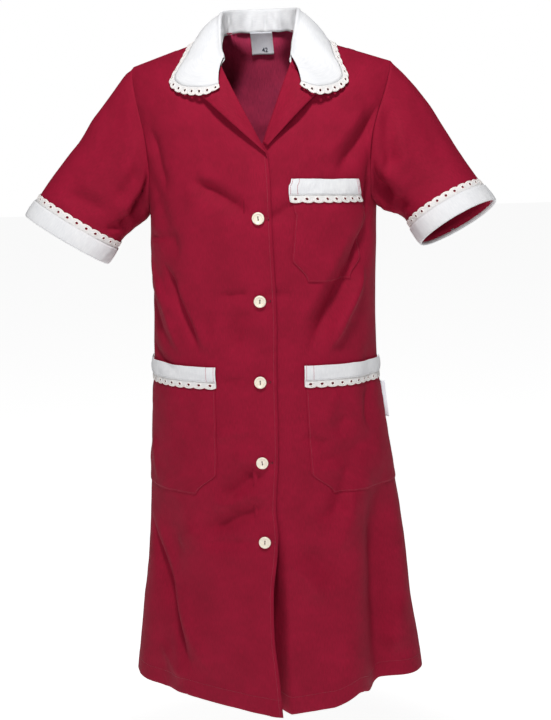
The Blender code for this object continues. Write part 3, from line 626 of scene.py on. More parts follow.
def grid_normals(rows, core, closed=False):
    """Outward normals of a grid's points, away from a core given for each; a closed grid ends where it began."""
    high, wide = len(rows) - 1, len(rows[0]) - 1
    normals = []
    for j in range(high + 1):
        line = []
        for i in range(wide if closed else wide + 1):
            before, after = ((i - 1) % wide, (i + 1) % wide) if closed else (max(i - 1, 0), min(i + 1, wide))
            across = rows[j][after] - rows[j][before]
            up = rows[min(j + 1, high)][i] - rows[max(j - 1, 0)][i]
            normal = across.cross(up).normalized()
            if normal.dot(rows[j][i] - core(rows[j][i], j)) < 0:
                normal.negate()
            line.append(normal)
        normals.append(line + line[:1] if closed else line)
    return normals


def body_core(point, row=0):
    """A point inside the body, below and behind a point of its cloth."""
    return Vector((NECK_CENTRE, 0, point.z - 60))


def hem_raise(turn, z):
    """How much the hem hangs above its level at a turn, fading up the skirt."""
    return straight(HEM_LINE, "turn", (turn + 90) % 360 - 90, "rise") * smooth((HEM_EVEN - z) / HEM_FADE)


def front_panel(side, edge):
    """Points of a front and its outward normals: rows from the hem up, each from the edge to the seam."""
    rows, turns = [], []
    for row in FINE:
        reader = curved if row.z < -200 else straight
        edge_x = reader(edge, "z", row.z, "x")
        edge_z = min(row.z, shoulder_line(edge_x))
        edge_turn = side * turn_at(edge_x, edge_z)
        edge_way = climb(shoulder_line(edge_x) - edge_z)
        turn_out, seam_z, seam_way = seam_place(row, side, "front")
        points, places = [], []
        for k in range(FRONT_COLUMNS + 1):
            share = k / FRONT_COLUMNS
            turn = side * (edge_turn + (turn_out - edge_turn) * share)
            level_z = edge_z + (seam_z - edge_z) * share
            x = body(turn, level_z).x
            followed = shoulder_line(x) - fall(edge_way + (seam_way - edge_way) * share)
            z = level_z + (followed - level_z) * row.follow
            hung = Vector((0, -SEAM, hem_raise(turn, z)))
            points.append(body(turn, z, overlap_lift(side, x, z)) + hung)
            places.append((turn, z))
        rows.append(points)
        turns.append(places)
    normals = grid_normals(rows, body_core)
    for j, (points, places) in enumerate(zip(rows, turns)):
        for i, (turn, z) in enumerate(places):
            share = i / FRONT_COLUMNS
            calm = smooth((1 - share) / 0.06) * (0.4 + 0.6 * smooth(share / 0.04))
            moved = worn(turn, z, calm * smooth((-20 - z) / 60), 3, 46, 9)
            moved += 0.3 * crumple(z, z, 5 + side, 9) * (1 - smooth(share / 0.05))
            points[i] = points[i] + normals[j][i] * moved
    return rows, grid_normals(rows, body_core)


def lengths(points):
    """Ways along a run of points, from its first."""
    ways = [0]
    for before, after in zip(points, points[1:]):
        ways.append(ways[-1] + (after - before).length)
    return ways


def placed(name, data):
    """An object in the scene."""
    piece = bpy.data.objects.new(name, data)
    bpy.context.scene.collection.objects.link(piece)
    return piece


def meshed(name, bm, finish=None):
    """The mesh of a bmesh, which is freed."""
    mesh = bpy.data.meshes.new(name)
    bm.to_mesh(mesh)
    bm.free()
    if finish:
        mesh.materials.append(finish)
    return mesh


def walled(name, bm, inside, finish, wall):
    """A smooth cloth piece whose faces look away from a place inside it, with its wall behind them."""
    facing = sum(face.normal.dot(face.calc_center_median() - inside * MM) * face.calc_area()
                 for face in bm.faces)
    if facing < 0:
        bmesh.ops.reverse_faces(bm, faces=bm.faces)
    mesh = meshed(name, bm, finish)
    mesh.shade_smooth()
    piece = placed(name, mesh)
    solidify = piece.modifiers.new("wall", "SOLIDIFY")
    solidify.thickness = wall * MM
    solidify.offset = -1
    solidify.use_even_offset = False
    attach(piece, "root")
    return piece


def cloth(name, rows, inside, finish, wall, closed=False):
    """A cloth piece: a grid with each point in its place, and a UV map in metres along its threads."""
    wide, high = len(rows[0]) - 1, len(rows) - 1
    bm = bmesh.new()
    bmesh.ops.create_grid(bm, x_segments=wide, y_segments=high, size=0.5)
    across, up = lengths(rows[high // 2]), lengths([points[wide // 2] for points in rows])
    spots = {}
    for vert in bm.verts:
        i, j = round((vert.co.x + 0.5) * wide), round((vert.co.y + 0.5) * high)
        spots[vert] = (across[i] * MM, up[j] * MM)
        vert.co = rows[j][i] * MM
    cloth_map = bm.loops.layers.uv.new("cloth")
    for face in bm.faces:
        for loop in face.loops:
            loop[cloth_map].uv = spots[loop.vert]
    if closed:
        bmesh.ops.remove_doubles(bm, verts=bm.verts, dist=0.01 * MM)
    bm.normal_update()
    return walled(name, bm, inside, finish, wall)


def seams_turned(rows, normals, ends, shift):
    """Rows with the cloth turned in along its side seams, at the ends named, and along the shoulder seam."""
    turned = []
    for points, outward in zip(rows, normals):
        line = list(points)
        if "first" in ends:
            line.insert(0, points[0] - outward[0] * SEAM_ALLOWANCE + shift)
        if "last" in ends:
            line.append(points[-1] - outward[-1] * SEAM_ALLOWANCE + shift)
        turned.append(line)
    top = [normals[-1][min(max(i - ("first" in ends), 0), len(normals[0]) - 1)] for i in range(len(turned[0]))]
    return turned + [[point - outward * SEAM_ALLOWANCE + shift for point, outward in zip(turned[-1], top)]]


FRONTS = {
    "left": SimpleNamespace(side=1, edge=LEFT_EDGE),
    "right": SimpleNamespace(side=-1, edge=RIGHT_EDGE),
}
panels = {}
for name, front in FRONTS.items():
    rows, normals = front_panel(front.side, front.edge)
    panels[name] = (rows, normals)
    shown = seams_turned(rows, normals, ("last",), Vector((0, SEAM, 0)))
    piece = cloth(f"cloth_front_{name}", shown, TRUNK, crimson, CLOTH)
    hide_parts(f"front_{name}")


# --- The back ----------------------------------------------------------------------------------------------------
# One width of crimson poplin from side seam to side seam, hollowed at the neck, with soft flutes down the skirt.
# Its inside shows through the neck opening.

BACK_COLUMNS = 64
BACK_NECK = table(
    "out over",
    (0, 150),
    (16, 145),
    (30, 132.5),
    (42, 112),
    (48.5, 97),
    (NECK_HALF, 90),
)


def back_panel():
    """Points of the back and its outward normals: rows from the hem up, each from the left to the right."""
    armpit_way = climb(shoulder_line(ring(ARMPIT).half) - ARMPIT)
    rows, places = [], []
    for row in FINE:
        turn_out, seam_z, seam_way = seam_place(row, 1, "back")
        progress = (seam_way - armpit_way) / (SHOULDER_WAY - armpit_way)
        points, line = [], []
        for k in range(-BACK_COLUMNS, BACK_COLUMNS + 1):
            turn = 180 + k / BACK_COLUMNS * turn_out
            z = seam_z
            if row.seam_z > ARMPIT:
                x = body(turn, seam_z).x
                out = abs(x - NECK_CENTRE)
                top = SHOULDER_WAY
                if out < NECK_HALF - 1:
                    top = SHOULDER_ROUND * math.radians(180 - curved(BACK_NECK, "out", out, "over"))
                foot = climb(shoulder_line(x) - ARMPIT)
                z = shoulder_line(x) - fall(foot + (top - foot) * progress)
            points.append(body(turn, z) + Vector((0, SEAM, hem_raise(turn, z))))
            line.append((turn, z))
        rows.append(points)
        places.append(line)
    normals = grid_normals(rows, body_core)
    for j, (points, line) in enumerate(zip(rows, places)):
        for i, (turn, z) in enumerate(line):
            calm = smooth((1 - abs(i / BACK_COLUMNS - 1)) / 0.06) * smooth((-10 - z) / 60)
            points[i] = points[i] + normals[j][i] * worn(turn, z, calm, 7, 50, 2)
    return rows, grid_normals(rows, body_core)


back_rows, back_normals = back_panel()
shown = seams_turned(back_rows, back_normals, ("first", "last"), Vector((0, -SEAM, 0)))
piece = cloth("cloth_back", shown, TRUNK, crimson, CLOTH)
# The inside of the back takes the wrong side's colour, lightened as painted light
piece.data.materials.append(crimson_wrong_side_painted_light)
piece.modifiers["wall"].material_offset = 1
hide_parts("back")


# --- The pockets -------------------------------------------------------------------------------------------------
# Patch pockets of the same crimson poplin, their edges turned under and topstitched to the fronts: one on the left
# chest with both lower corners cut off, and one on each hip, running into the side seam.

POCKET_CORNER = 32
POCKET_LIFT = 0.75  # the pocket's turned-under edge stands off the front by its own two layers
POCKET_FULL = 0.6
BAND = 21.5
TRIM = 11
POCKET_BULGE = 0.5
TOP = 50  # above every course
POCKETS = {
    "chest": SimpleNamespace(
        front="left", top=-191.5, foot=-335, cut=22, both=True, tilt=0, scallops=8, cells=(40, 46),
        flat=(0.14, 0.17), trim_flat=(0.13, 0.012),
        inner=((HEM, 0.19), (-335, 0.19), (-193, 0.238), (TOP, 0.238)),
        outer=((HEM, 0.7), (-335, 0.7), (-193, 0.768), (TOP, 0.768)),
    ),
    "hip_left": SimpleNamespace(
        front="left", top=-454.5, foot=-643, cut=26, both=False, tilt=-4, scallops=11, cells=(50, 60),
        flat=(0.19, 0.22), trim_flat=(0.16, 0.012),
        inner=((-643, 0.272), (-456, 0.278), (TOP, 0.278)),
        outer=((HEM, 1), (TOP, 1)),
    ),
    "hip_right": SimpleNamespace(
        front="right", top=-454.5, foot=-643, cut=26, both=False, tilt=3, scallops=11, cells=(50, 60),
        flat=(0.19, 0.22), trim_flat=(0.16, 0.012),
        inner=((-643, 0.28), (-456, 0.287), (TOP, 0.287)),
        outer=((HEM, 1), (TOP, 1)),
    ),
}
FINE_HEIGHTS = [row.z for row in FINE]


def blended(grid, j, i, v, u):
    """A grid's value part of the way, v and u, from a row and column to the next ones."""
    return grid[j][i].lerp(grid[j][i + 1], u).lerp(grid[j + 1][i].lerp(grid[j + 1][i + 1], u), v)


def on_front(name, share, z, out=0):
    """A point off a front: a share of the way from its edge to its seam, at a course's height."""
    rows, normals = panels[name]
    j = min(max(bisect.bisect_right(FINE_HEIGHTS, z) - 1, 0), len(FINE) - 2)
    v = (z - FINE_HEIGHTS[j]) / (FINE_HEIGHTS[j + 1] - FINE_HEIGHTS[j])
    place = min(max(share, 0), 1) * FRONT_COLUMNS
    i = min(int(place), FRONT_COLUMNS - 1)
    cell = (j, i, v, place - i)
    return blended(rows, *cell) + blended(normals, *cell).normalized() * out


def between(pairs, z):
    """A share on straight lines between (height, share) pairs."""
    for (low, a), (high, b) in zip(pairs, pairs[1:]):
        if z <= high:
            return a + (b - a) * max(0, z - low) / (high - low)
    return pairs[-1][1]


def pocket_lift(shape, across, up, width, height):
    """How far a pocket's cloth stands off the front: close at its stitched edges and fuller in its middle."""
    edge = smooth(min(across * width, (1 - across) * width if shape.both else width, up * height) / 3)
    full = math.sin(math.pi * (across if shape.both else across * 0.6)) * math.sin(math.pi * up * 0.8)
    return POCKET_LIFT + edge * (POCKET_BULGE + POCKET_FULL * full)


def pocket_place(shape, across, up, out=0):
    """A point on a pocket: shares of its way across and up, with its lower corners cut off."""
    z = shape.foot + (shape.top - shape.foot) * up
    inner, outer = between(shape.inner, z), between(shape.outer, z)
    start = on_front(shape.front, inner, z)
    end = on_front(shape.front, outer, z)
    width = (end - start).length
    height = shape.top - shape.foot
    cut = shape.cut / width * smooth(1 - up * height / POCKET_CORNER) ** 0.8
    share = cut + ((1 - cut if shape.both else 1) - cut) * across
    uneven = 0.35 * crumple(across * width, up * height, shape.top / 50, 13)
    uneven += 0.7 * crumple(across * width, up * height, shape.top / 70, 34)
    rippled = 0.3 * crumple(across * width, up * height, 11, 6) * (1 - smooth((min(across, up) * width - 4) / 8))
    free = smooth(((1 - up) * height - 31) / 20)
    lift = pocket_lift(shape, across, up, width, height) * (0.45 + 0.55 * free)
    lift += (max(0, 0.4 + uneven) * smooth(across * width / 4) + rippled) * free
    return on_front(shape.front, inner + (outer - inner) * share, z + shape.tilt * across, lift + out)


for name, shape in POCKETS.items():
    wide, high = shape.cells
    columns = [0, 0.006, 0.016] + [0.03 + 0.94 * k / wide for k in range(wide + 1)] + [0.984, 0.994, 1]
    levels = [0, 0.006, 0.016] + [0.03 + 0.97 * k / high for k in range(high + 1)]
    rows = [[pocket_place(shape, across, up) for across in columns] for up in levels]
    piece = cloth(f"cloth_{name}_pocket", rows, Vector((0, 0, shape.top)), crimson, 0.7)
    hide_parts(f"{name}_pocket")


# --- The sleeves -------------------------------------------------------------------------------------------------
# Short set-in sleeves, each one piece of crimson poplin joined under the arm. The head is eased into the armhole,
# and the straight lower end is held open by the cuff.

SLEEVES = {
    "left": SimpleNamespace(side=1, middle=(282.5, -22, -271.5), half_wide=59, half_deep=52, slope=30, lean=17.5,
                            low_way=(0.8, -0.6), top_way=(0.75, -0.66)),
    "right": SimpleNamespace(side=-1, middle=(-290.5, -22, -281), half_wide=68, half_deep=38, slope=32.5,
                             lean=6, low_way=(0.45, -0.9), top_way=(0.57, -0.82)),
}
SLEEVE_TURN = 36  # degrees that the sleeves hang out from straight down
SLEEVE_DEEP = 150
SLEEVE_COLUMNS = 96
SLEEVE_ROWS = 40
CUFF = 27
CUFF_TRIM = 11.5
CUFF_WALL = 1.2

# Folds of the sleeves: angles are degrees from the armpit side round the front (90) to the shoulder side (180), and
# the share of the way from the armhole to the hem
SLEEVE_FOLDS = {
    "left": table(
        "angle_a share_a angle_b share_b width height",
        (28, -0.05, 44, 0.95, 9, -9.5),
        (50, -0.3, 36, 0.55, 13, -18),
        (12, 0.1, 20, 0.8, 8, 4.1),
        (62, 0.02, 66, 0.75, 12, 4.3),
        (132, 0.05, 66, 0.34, 12, -6.8),
        (118, 0.22, 84, 0.6, 12, 3),
        (50, 0.12, 96, 0.42, 8, -3.5),
        (150, 0.3, 126, 0.86, 13, -2.4),
        (205, 0.05, 236, 0.5, 13, -4.9),
        (250, 0.05, 300, 0.6, 12, -5.7),
        (228, 0.4, 268, 0.95, 12, 3.2),
        (320, 0.05, 336, 0.9, 9, -6.8),
    ),
    "right": table(
        "angle_a share_a angle_b share_b width height",
        (26, -0.05, 34, 0.95, 10, -10.8),
        (48, -0.3, 34, 0.55, 13, -18),
        (176, -0.1, 184, 0.62, 40, 5),
        (48, 0.05, 56, 0.7, 10, 4.3),
        (78, 0.1, 66, 0.62, 11, -5.7),
        (100, 0.05, 88, 0.42, 12, 2.7),
        (128, 0.92, 64, 0.76, 9, -3.8),
        (120, 0.76, 70, 0.64, 9, 2.4),
        (50, 0.98, 36, 0.78, 7, -3.8),
        (145, 0.1, 130, 0.6, 14, -2.7),
        (205, 0.05, 232, 0.55, 13, -5.1),
        (252, 0.05, 296, 0.6, 12, -5.7),
        (230, 0.4, 262, 0.95, 12, 3.2),
        (318, 0.05, 334, 0.9, 9, -6.8),
    ),
}


def sleeve_frame(shape):
    """The sleeve's opening as a frame: its middle, long way, deep way and the way the sleeve hangs."""
    slope = math.radians(shape.slope)
    wide = Vector((shape.side * math.cos(slope), 0, math.sin(slope)))
    hang = Vector((shape.side * math.sin(math.radians(SLEEVE_TURN)), 0, -math.cos(math.radians(SLEEVE_TURN))))
    lean = math.radians(shape.lean)
    hang = (hang * math.cos(lean) + Vector((0, -math.sin(lean), 0))).normalized()
    deep = Vector((0, -1, 0))
    deep = (deep - hang * deep.dot(hang)).normalized()
    return Vector(shape.middle), wide, deep, hang


def opening_point(shape, angle, above, out=0):
    """A point of the sleeve's straight end: an angle from the armpit side, a height above the cuff's edge."""
    middle, wide, deep, hang = sleeve_frame(shape)
    along, ahead = -math.cos(angle), math.sin(angle)
    flat = wide * along * shape.half_wide + deep * ahead * shape.half_deep
    outward = (wide * along * shape.half_deep + deep * ahead * shape.half_wide).normalized()
    return middle + flat + outward * out - hang * above


def armhole_loop(front, back, side):
    """The armhole's points, from the armpit up the front, over the shoulder tip and down the back."""
    up = [points[-1] for points in front[ARMPIT_ROW:]]
    column = 0 if side > 0 else -1
    down = [points[column] for points in back[ARMPIT_ROW:]]
    foot, tip = (up[0] + down[0]) / 2, (up[-1] + down[-1]) / 2
    return [foot, *up[1:-1], tip, *reversed(down[1:-1])]


def stretch(ways, way):
    """The stretch of a run that a length along it falls in, and the share of the way through it."""
    n = min(max(bisect.bisect_right(ways, way) - 1, 0), len(ways) - 2)
    return n, (way - ways[n]) / (ways[n + 1] - ways[n])


def sleeve_fold(name, angle, share):
    """How far the sleeve's folds move its cloth out."""
    total = 0
    for fold in SLEEVE_FOLDS[name]:
        dz, pz = (SLEEVE_DEEP * (at - fold.share_a) for at in (fold.share_b, share))
        along, away = beside(turn_from(angle, fold.angle_a), pz, fold.angle_b - fold.angle_a, dz)
        if 0 < along < 1:
            total += fold.height * taper(along) * math.exp(-((away / fold.width) ** 2))
    return total


def sleeve_panel(name, shape, loop):
    """Rings of a sleeve, from its head in the armhole to its hem inside the cuff, and their outward normals."""
    hang = sleeve_frame(shape)[-1]
    tip = len(loop) // 2
    closed = loop + loop[:1]
    ways = lengths(closed)
    low_way, top_way = (Vector((out * shape.side, 0, up)) for out, up in (shape.low_way, shape.top_way))
    rings = [[] for _ in range(SLEEVE_ROWS + 1)]
    for k in range(SLEEVE_COLUMNS):
        angle = 2 * math.pi * k / SLEEVE_COLUMNS
        half = angle / math.pi
        way = ways[tip] * half if half <= 1 else ways[tip] + (ways[-1] - ways[tip]) * (half - 1)
        n, share = stretch(ways, way)
        head = closed[n].lerp(closed[n + 1], share)
        high = (1 - math.cos(angle)) / 2
        leave = (low_way.lerp(top_way, high) + Vector((0, -0.12 * math.sin(angle), 0))).normalized()
        start = head + leave * 0.3
        end = opening_point(shape, angle, CUFF + CUFF_TRIM + 3)
        reach = (end - start).length
        for row, points in enumerate(rings):
            points.append(eased(start, end, leave * reach, hang * reach, row / SLEEVE_ROWS))
    rings = [points + points[:1] for points in rings]
    centres = [sum(points[:-1], Vector()) / SLEEVE_COLUMNS for points in rings]
    normals = grid_normals(rings, lambda point, n: centres[n], True)
    for n, points in enumerate(rings):
        share = n / SLEEVE_ROWS
        calm = smooth(share / 0.05) * smooth((1 - share) / 0.05)
        head_only = smooth((0.16 - share) / 0.14) * smooth(share / 0.03)
        for k in range(SLEEVE_COLUMNS + 1):
            angle = 360 * k / SLEEVE_COLUMNS
            round_way = Vector((math.cos(math.radians(angle)), math.sin(math.radians(angle))))
            uneven = crumple(60 * round_way.x, 60 * round_way.y + SLEEVE_DEEP * share, 4 + shape.side, 40)
            ease = 0.5 * math.sin(angle * 0.9) * head_only
            points[k] = points[k] + normals[n][k] * (calm * (sleeve_fold(name, angle, share) + 0.9 * uneven) + ease)
        points[-1] = points[0]
    return rings, grid_normals(rings, lambda point, n: centres[n], True)


for name, shape in SLEEVES.items():
    loop = armhole_loop(panels[name][0], back_rows, shape.side)
    rings, normals = sleeve_panel(name, shape, loop)
    head = [point - normals[0][k] * SEAM_ALLOWANCE for k, point in enumerate(rings[0])]
    hidden = [[opening_point(shape, 2 * math.pi * k / SLEEVE_COLUMNS, above) for k in range(SLEEVE_COLUMNS + 1)]
              for above in (CUFF + 6, CUFF / 2, 5)]
    piece = cloth(f"cloth_sleeve_{name}", [head, *rings, *hidden], Vector(shape.middle) * 0.8, crimson, CLOTH, True)
    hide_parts(f"sleeve_{name}")


# --- White poplin ------------------------------------------------------------------------------------------------
# The collar, cuffs and pocket bands: two layers of bleached cotton poplin with a stiffening between them, pressed
# flat. It is cool white with the same fine plain weave.

white = woven("white_poplin_weave", "dededf", "d0d1d4", 0.8, 0.75, 0.05, 0.3)


# --- The cuffs ---------------------------------------------------------------------------------------------------
# A straight white band sewn round each sleeve end and turned 7 mm up inside it. The seams draw it in a little, so
# it crowns between them and puckers.

CUFF_SIDES = 112
CUFF_TURNED_IN = 7


def cuff_rings(shape, seed):
    """Rings of a cuff, from its sewn edge down the outside, round its fold and up inside."""
    levels = [(CUFF * (1 - k / 8), 0.5 + 0.9 * math.sin(math.pi * k / 8)) for k in range(8)]
    levels += [(1.0, 0.4), (0.0, -0.3), (0.2, -1.4), (2.5, -2.0), (CUFF_TURNED_IN, -2.2)]
    rings = []
    for above, crown in levels:
        points = []
        for k in range(CUFF_SIDES + 1):
            angle = 2 * math.pi * (k % CUFF_SIDES) / CUFF_SIDES
            spot = Vector((math.cos(angle), math.sin(angle))) * 60
            uneven = 0.55 * crumple(spot.x * 1.6, spot.y * 1.6 + above * 0.4, seed, 15)
            uneven += 0.8 * crumple(spot.x, spot.y, seed + 3, 40)
            points.append(opening_point(shape, angle, above, 1.0 + CUFF_WALL + crown + uneven))
        rings.append(points)
    return rings


for name, shape in SLEEVES.items():
    piece = cloth(f"cloth_cuff_{name}", cuff_rings(shape, shape.side + 5), Vector(shape.middle), white, 0.9, True)
    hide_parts(f"cuff_{name}")


# --- The collar --------------------------------------------------------------------------------------------------
# A one-piece white collar: a stand rising from the neck seam, a soft roll, and a fall that lies over the shoulders
# and ends in a rounded point on each front. The stand's inside is puckered where it meets the neck seam.

COLLAR = table(
    "neck_out neck_over roll_out roll_y roll_z edge_out edge_over trim_out trim_over lift trim_lift",
    (0, 150, 0, 82, 40, 0, 174, 0, 185, 4.5, 2.7),
    (13, 146.5, 13, 81, 40, 20, 170, 22, 181, 4.5, 2.7),
    (26, 137, 27, 77, 40, 40, 154, 45, 164, 4.5, 2.7),
    (43, 110.5, 46, 56, 39.5, 68, 130, 76, 139, 4.5, 2.7),
    (50, 94, 54, 32, 38, 84, 110, 94, 115, 4.5, 2.7),
    (51, 84, 55.5, 10, 35, 90, 88, 101, 90, 4.5, 2.7),
    (51, 66, 55, -8, 27, 93, 70, 104, 66, 4.5, 2.7),
    (51, 54, 53.5, -22, 14, 99, 51, 111, 46.5, 4.5, 2.7),
    (50.5, 44, 52, -35, 0, 108, 39, 119, 34.5, 4.5, 2.7),
    (50, 38, 50.5, -46.5, -9.5, 114, 27, 122, 23.5, 5.5, 4),
    (49.5, 33, 50, -53.5, -17, 103, 16, 109, 11, 9, 7),
    (49, 29.5, 49, -59, -22, 82, 8.5, 82, 1.5, 14, 13),
    (49, 27, 48.5, -63, -27, 60, 7.5, 58, 4, 15.5, 15),
)
COLLAR_STEPS = 8
COLLAR_ROLL = 3
COLLAR_WALL = 1.2
COLLAR_INSET = 1.2  # the stand's foot is this far inside the neck seam
COLLAR_DRAWN = {-1: 13, 1: 3}  # how far each front end is pulled to the wearer's left
COLLAR_WIDER = 8
COLLAR_INSIDE = Vector((NECK_CENTRE, 15, -300))
COLLAR_TURN = ((-1, -1.2), (-0.75, -0.35), (0, 0), (0.75, -0.3), (1, -1))  # the roll: out and up, from the stand
STAND_CELLS = 7
FALL_CELLS = 14
collar_rows = [SimpleNamespace(station=k, **vars(row)) for k, row in enumerate(COLLAR)]


def yoke(out, over):
    """The cloth about the neck: distance out from its centre, and angle over the shoulder from chest to back."""
    x = NECK_CENTRE + out
    angle = math.radians(over)
    z = shoulder_line(x) - SHOULDER_ROUND * (1 - math.sin(angle))
    level = ring(z)
    share = abs(x - level.centre) / level.half
    depth = level.back if over > 90 else level.front
    y = -math.copysign(depth, math.cos(angle)) * (1 - share**level.square) ** (1 / level.square)
    return Vector((x, SHOULDER_Y + (y - SHOULDER_Y) * abs(math.cos(angle)), z))


def moved_out(surface, a, b, distance):
    """A surface's point moved along its normal, away from the middle of the body."""
    step = 0.5
    here = surface(a, b)
    across = surface(a + step, b) - surface(a - step, b)
    up = surface(a, b + step) - surface(a, b - step)
    normal = across.cross(up).normalized()
    if normal.dot(here - body_core(here)) < 0:
        normal.negate()
    return here + normal * distance


def collar_at(place, side):
    """The collar's measures at a station along it; the wearer's left leaf spreads wider over the shoulder."""
    at = SimpleNamespace(**{name: curved(collar_rows, "station", place, name) for name in vars(COLLAR[0])})
    if side > 0:
        wider = COLLAR_WIDER * smooth((place - 3) / 3) * smooth((10.5 - place) / 3)
        at.edge_out += wider
        at.trim_out += wider
    return at


def drawn_left(place, side):
    """How far a front end of the collar is pulled over to the wearer's left."""
    return Vector((COLLAR_DRAWN[side] * smooth((place - 8.5) / 3.5), 0, 0))


def collar_section(place, side):
    """One section of the collar, from the neck seam up the stand, over the roll and down the fall to its edge."""
    at = collar_at(place, side)
    drawn = drawn_left(place, side)
    centre = COLLAR_INSIDE
    neck = yoke(side * at.neck_out, at.neck_over) + Vector((0, 0, -1.5))
    neck = neck + Vector((centre.x - neck.x, centre.y - neck.y, 0)).normalized() * COLLAR_INSET
    roll = Vector((NECK_CENTRE + side * at.roll_out, at.roll_y, at.roll_z)) + drawn * 0.3
    edge = moved_out(yoke, side * at.edge_out, at.edge_over, at.lift) + drawn
    outward = Vector((roll.x - centre.x, roll.y - centre.y, 0)).normalized()
    over = [roll + outward * out * COLLAR_ROLL + Vector((0, 0, up * COLLAR_ROLL)) for out, up in COLLAR_TURN]
    middle = (over[-1] + edge) / 2
    away = (middle - Vector((centre.x, centre.y, middle.z - 40))).normalized()
    control = middle + away * (8 + 1.5 * math.sin(place * 1.7 + side))
    points = []
    for k in range(STAND_CELLS):
        share = k / STAND_CELLS
        pucker = 3.2 * crumple(place * 24, share * 20, side + 2, 15) * math.sin(math.pi * min(1, share * 1.1))
        points.append(neck.lerp(over[0], share) + outward * pucker)
    points += over
    for k in range(1, FALL_CELLS):
        share = k / FALL_CELLS
        spot = over[-1].lerp(control, share).lerp(control.lerp(edge, share), share)
        uneven = 0.5 * crumple(place * 30 * side, share * 55, 8, 26) * math.sin(math.pi * share)
        points.append(spot + away * uneven)
    return points + [edge]


steps = (len(COLLAR) - 1) * COLLAR_STEPS
sections = [collar_section(k / COLLAR_STEPS, -1) for k in range(steps, 0, -1)]
sections += [collar_section(k / COLLAR_STEPS, 1) for k in range(steps + 1)]
piece = cloth("cloth_collar", sections, COLLAR_INSIDE, white, COLLAR_WALL)
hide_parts("collar")


# --- The lapels --------------------------------------------------------------------------------------------------
# The tops of the fronts, turned back flat along a soft roll, so that their facing shows.

LAPELS = {
    "right": SimpleNamespace(side=-1, roll=((17, -153), (-44, -39)), edge=((22, -161), (-69, -81))),
    "left": SimpleNamespace(side=1, roll=((15.5, -145), (52, -41)), edge=((21, -149), (87, -84))),
}
LAPEL_CROWN = 2.2
LAPEL_OFF = 2.2
LAPEL_RAISED = 9  # the free edge springs up this far off the front
LAPEL_CELLS = (16, 34)


def off_front(side, near, x, z, out):
    """A place off a front, which stands out there as it does near the place given."""
    lift = overlap_lift(side, *near)
    return moved_out(lambda x, z: body(turn_at(x, z), z, lift), x, z, out)


def lapel_rows(shape):
    """Points of a lapel: rows from its foot up, each from the roll to the free edge."""
    across, along = LAPEL_CELLS
    roll_foot, roll_top, edge_foot, edge_top = (Vector(end) for end in (*shape.roll, *shape.edge))
    rows = []
    for j in range(along + 1):
        up = j / along
        roll, edge = roll_foot.lerp(roll_top, up), edge_foot.lerp(edge_top, up)
        springing = LAPEL_RAISED * (0.35 + 0.65 * smooth(up * 1.5)) * (1 - 0.45 * smooth((up - 0.72) / 0.28))
        line = [off_front(shape.side, roll, roll.x - shape.side * back, roll.y, out)
                for back, out in ((0, 0.1), (0.5, 1))]
        for i in range(across + 1):
            spot = roll.lerp(edge, i / across)
            out = LAPEL_OFF + springing * smooth(i / across) + 0.5 * crumple(spot.x, spot.y, 6, 18)
            out += LAPEL_CROWN * math.sin(math.pi * i / across) * smooth(up * 2)
            line.append(off_front(shape.side, spot, spot.x, spot.y, out))
        rows.append(line)
    return rows


for name, shape in LAPELS.items():
    piece = cloth(f"cloth_lapel_{name}", lapel_rows(shape), Vector((0, 0, -120)), crimson, 0.8)
    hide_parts(f"lapel_{name}")


# --- The pocket bands --------------------------------------------------------------------------------------------
# A folded strip of white poplin bound over the mouth of each pocket and stitched down, a little puckered along its
# lower seam.

BAND_WALL = 1.0
BAND_OFF = 3.3  # the band's face stands this far off the front
BAND_CELLS = (70, 12)
# How far a band reaches past its pocket's free ends, where both are free and where one is
BAND_OVERHANG = {True: 0.012, False: 0.008}


def band_place(shape, across, down, out=0):
    """A point on a pocket's band or the trim below it: a share across, and a way down from the top."""
    z = shape.top - down
    beyond = BAND_OVERHANG[shape.both]
    inner = between(shape.inner, z) - beyond
    outer = between(shape.outer, z) + (beyond if shape.both else 0)
    return on_front(shape.front, inner + (outer - inner) * across, z + shape.tilt * across, out)


def on_band(shape, across, up, out=0):
    """A point on a band's face: shares of its way across and up."""
    pucker = 0.35 * crumple(across * 110, up * 7, shape.top / 30, 5) * (1 - up * 0.7)
    full = 1.0 * math.sin(math.pi * min(1, up * 1.05)) + 0.9 * crumple(across * 110, up * 20, 17, 16)
    wave = 0.7 * crumple(across * 90, 3, shape.top, 20) * up
    return band_place(shape, across, BAND * (1 - up) - wave, BAND_OFF + pucker + max(-0.4, full) + out)


def band_rows(shape):
    """Points of a band, from its lower edge up to the fold over the pocket's mouth."""
    wide, high = BAND_CELLS
    return [[on_band(shape, i / wide, j / high) for i in range(wide + 1)] for j in range(high + 1)]


for name, shape in POCKETS.items():
    piece = cloth(f"cloth_{name}_band", band_rows(shape), Vector((0, 0, shape.top)), white, BAND_WALL)
    folded = piece.modifiers.new("folded_edge", "BEVEL")
    folded.width = 0.35 * MM
    folded.segments = 2
    folded.limit_method = "ANGLE"
    folded.angle_limit = math.radians(50)
    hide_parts(f"{name}_band")


# --- The eyelet trims --------------------------------------------------------------------------------------------
# Machine-embroidered cotton edging, 11 mm deep: fine pale batiste with a punched eyelet in every scallop, the rim
# of the hole and the scalloped edge overcast in creamy pink satin stitch. The straight side is caught in the seam.

TRIM_GROUND = "dedcdb"
TRIM_SATIN = "ece5e1"
TRIM_TUCK = 1.0  # the straight side lies this far under the band
SCALLOP = 13
SCALLOP_DEPTH = 2.0
HOLE = 1.75
HOLE_UP = 5.6  # middle of the eyelet from the straight side
HOLE_RIM = 3.2
SATIN_EDGE = 2.3
SATIN_THREAD = 0.55
BATISTE = 9.0  # the ground's threads, in radians a millimetre
TRIM_WALL = 0.6
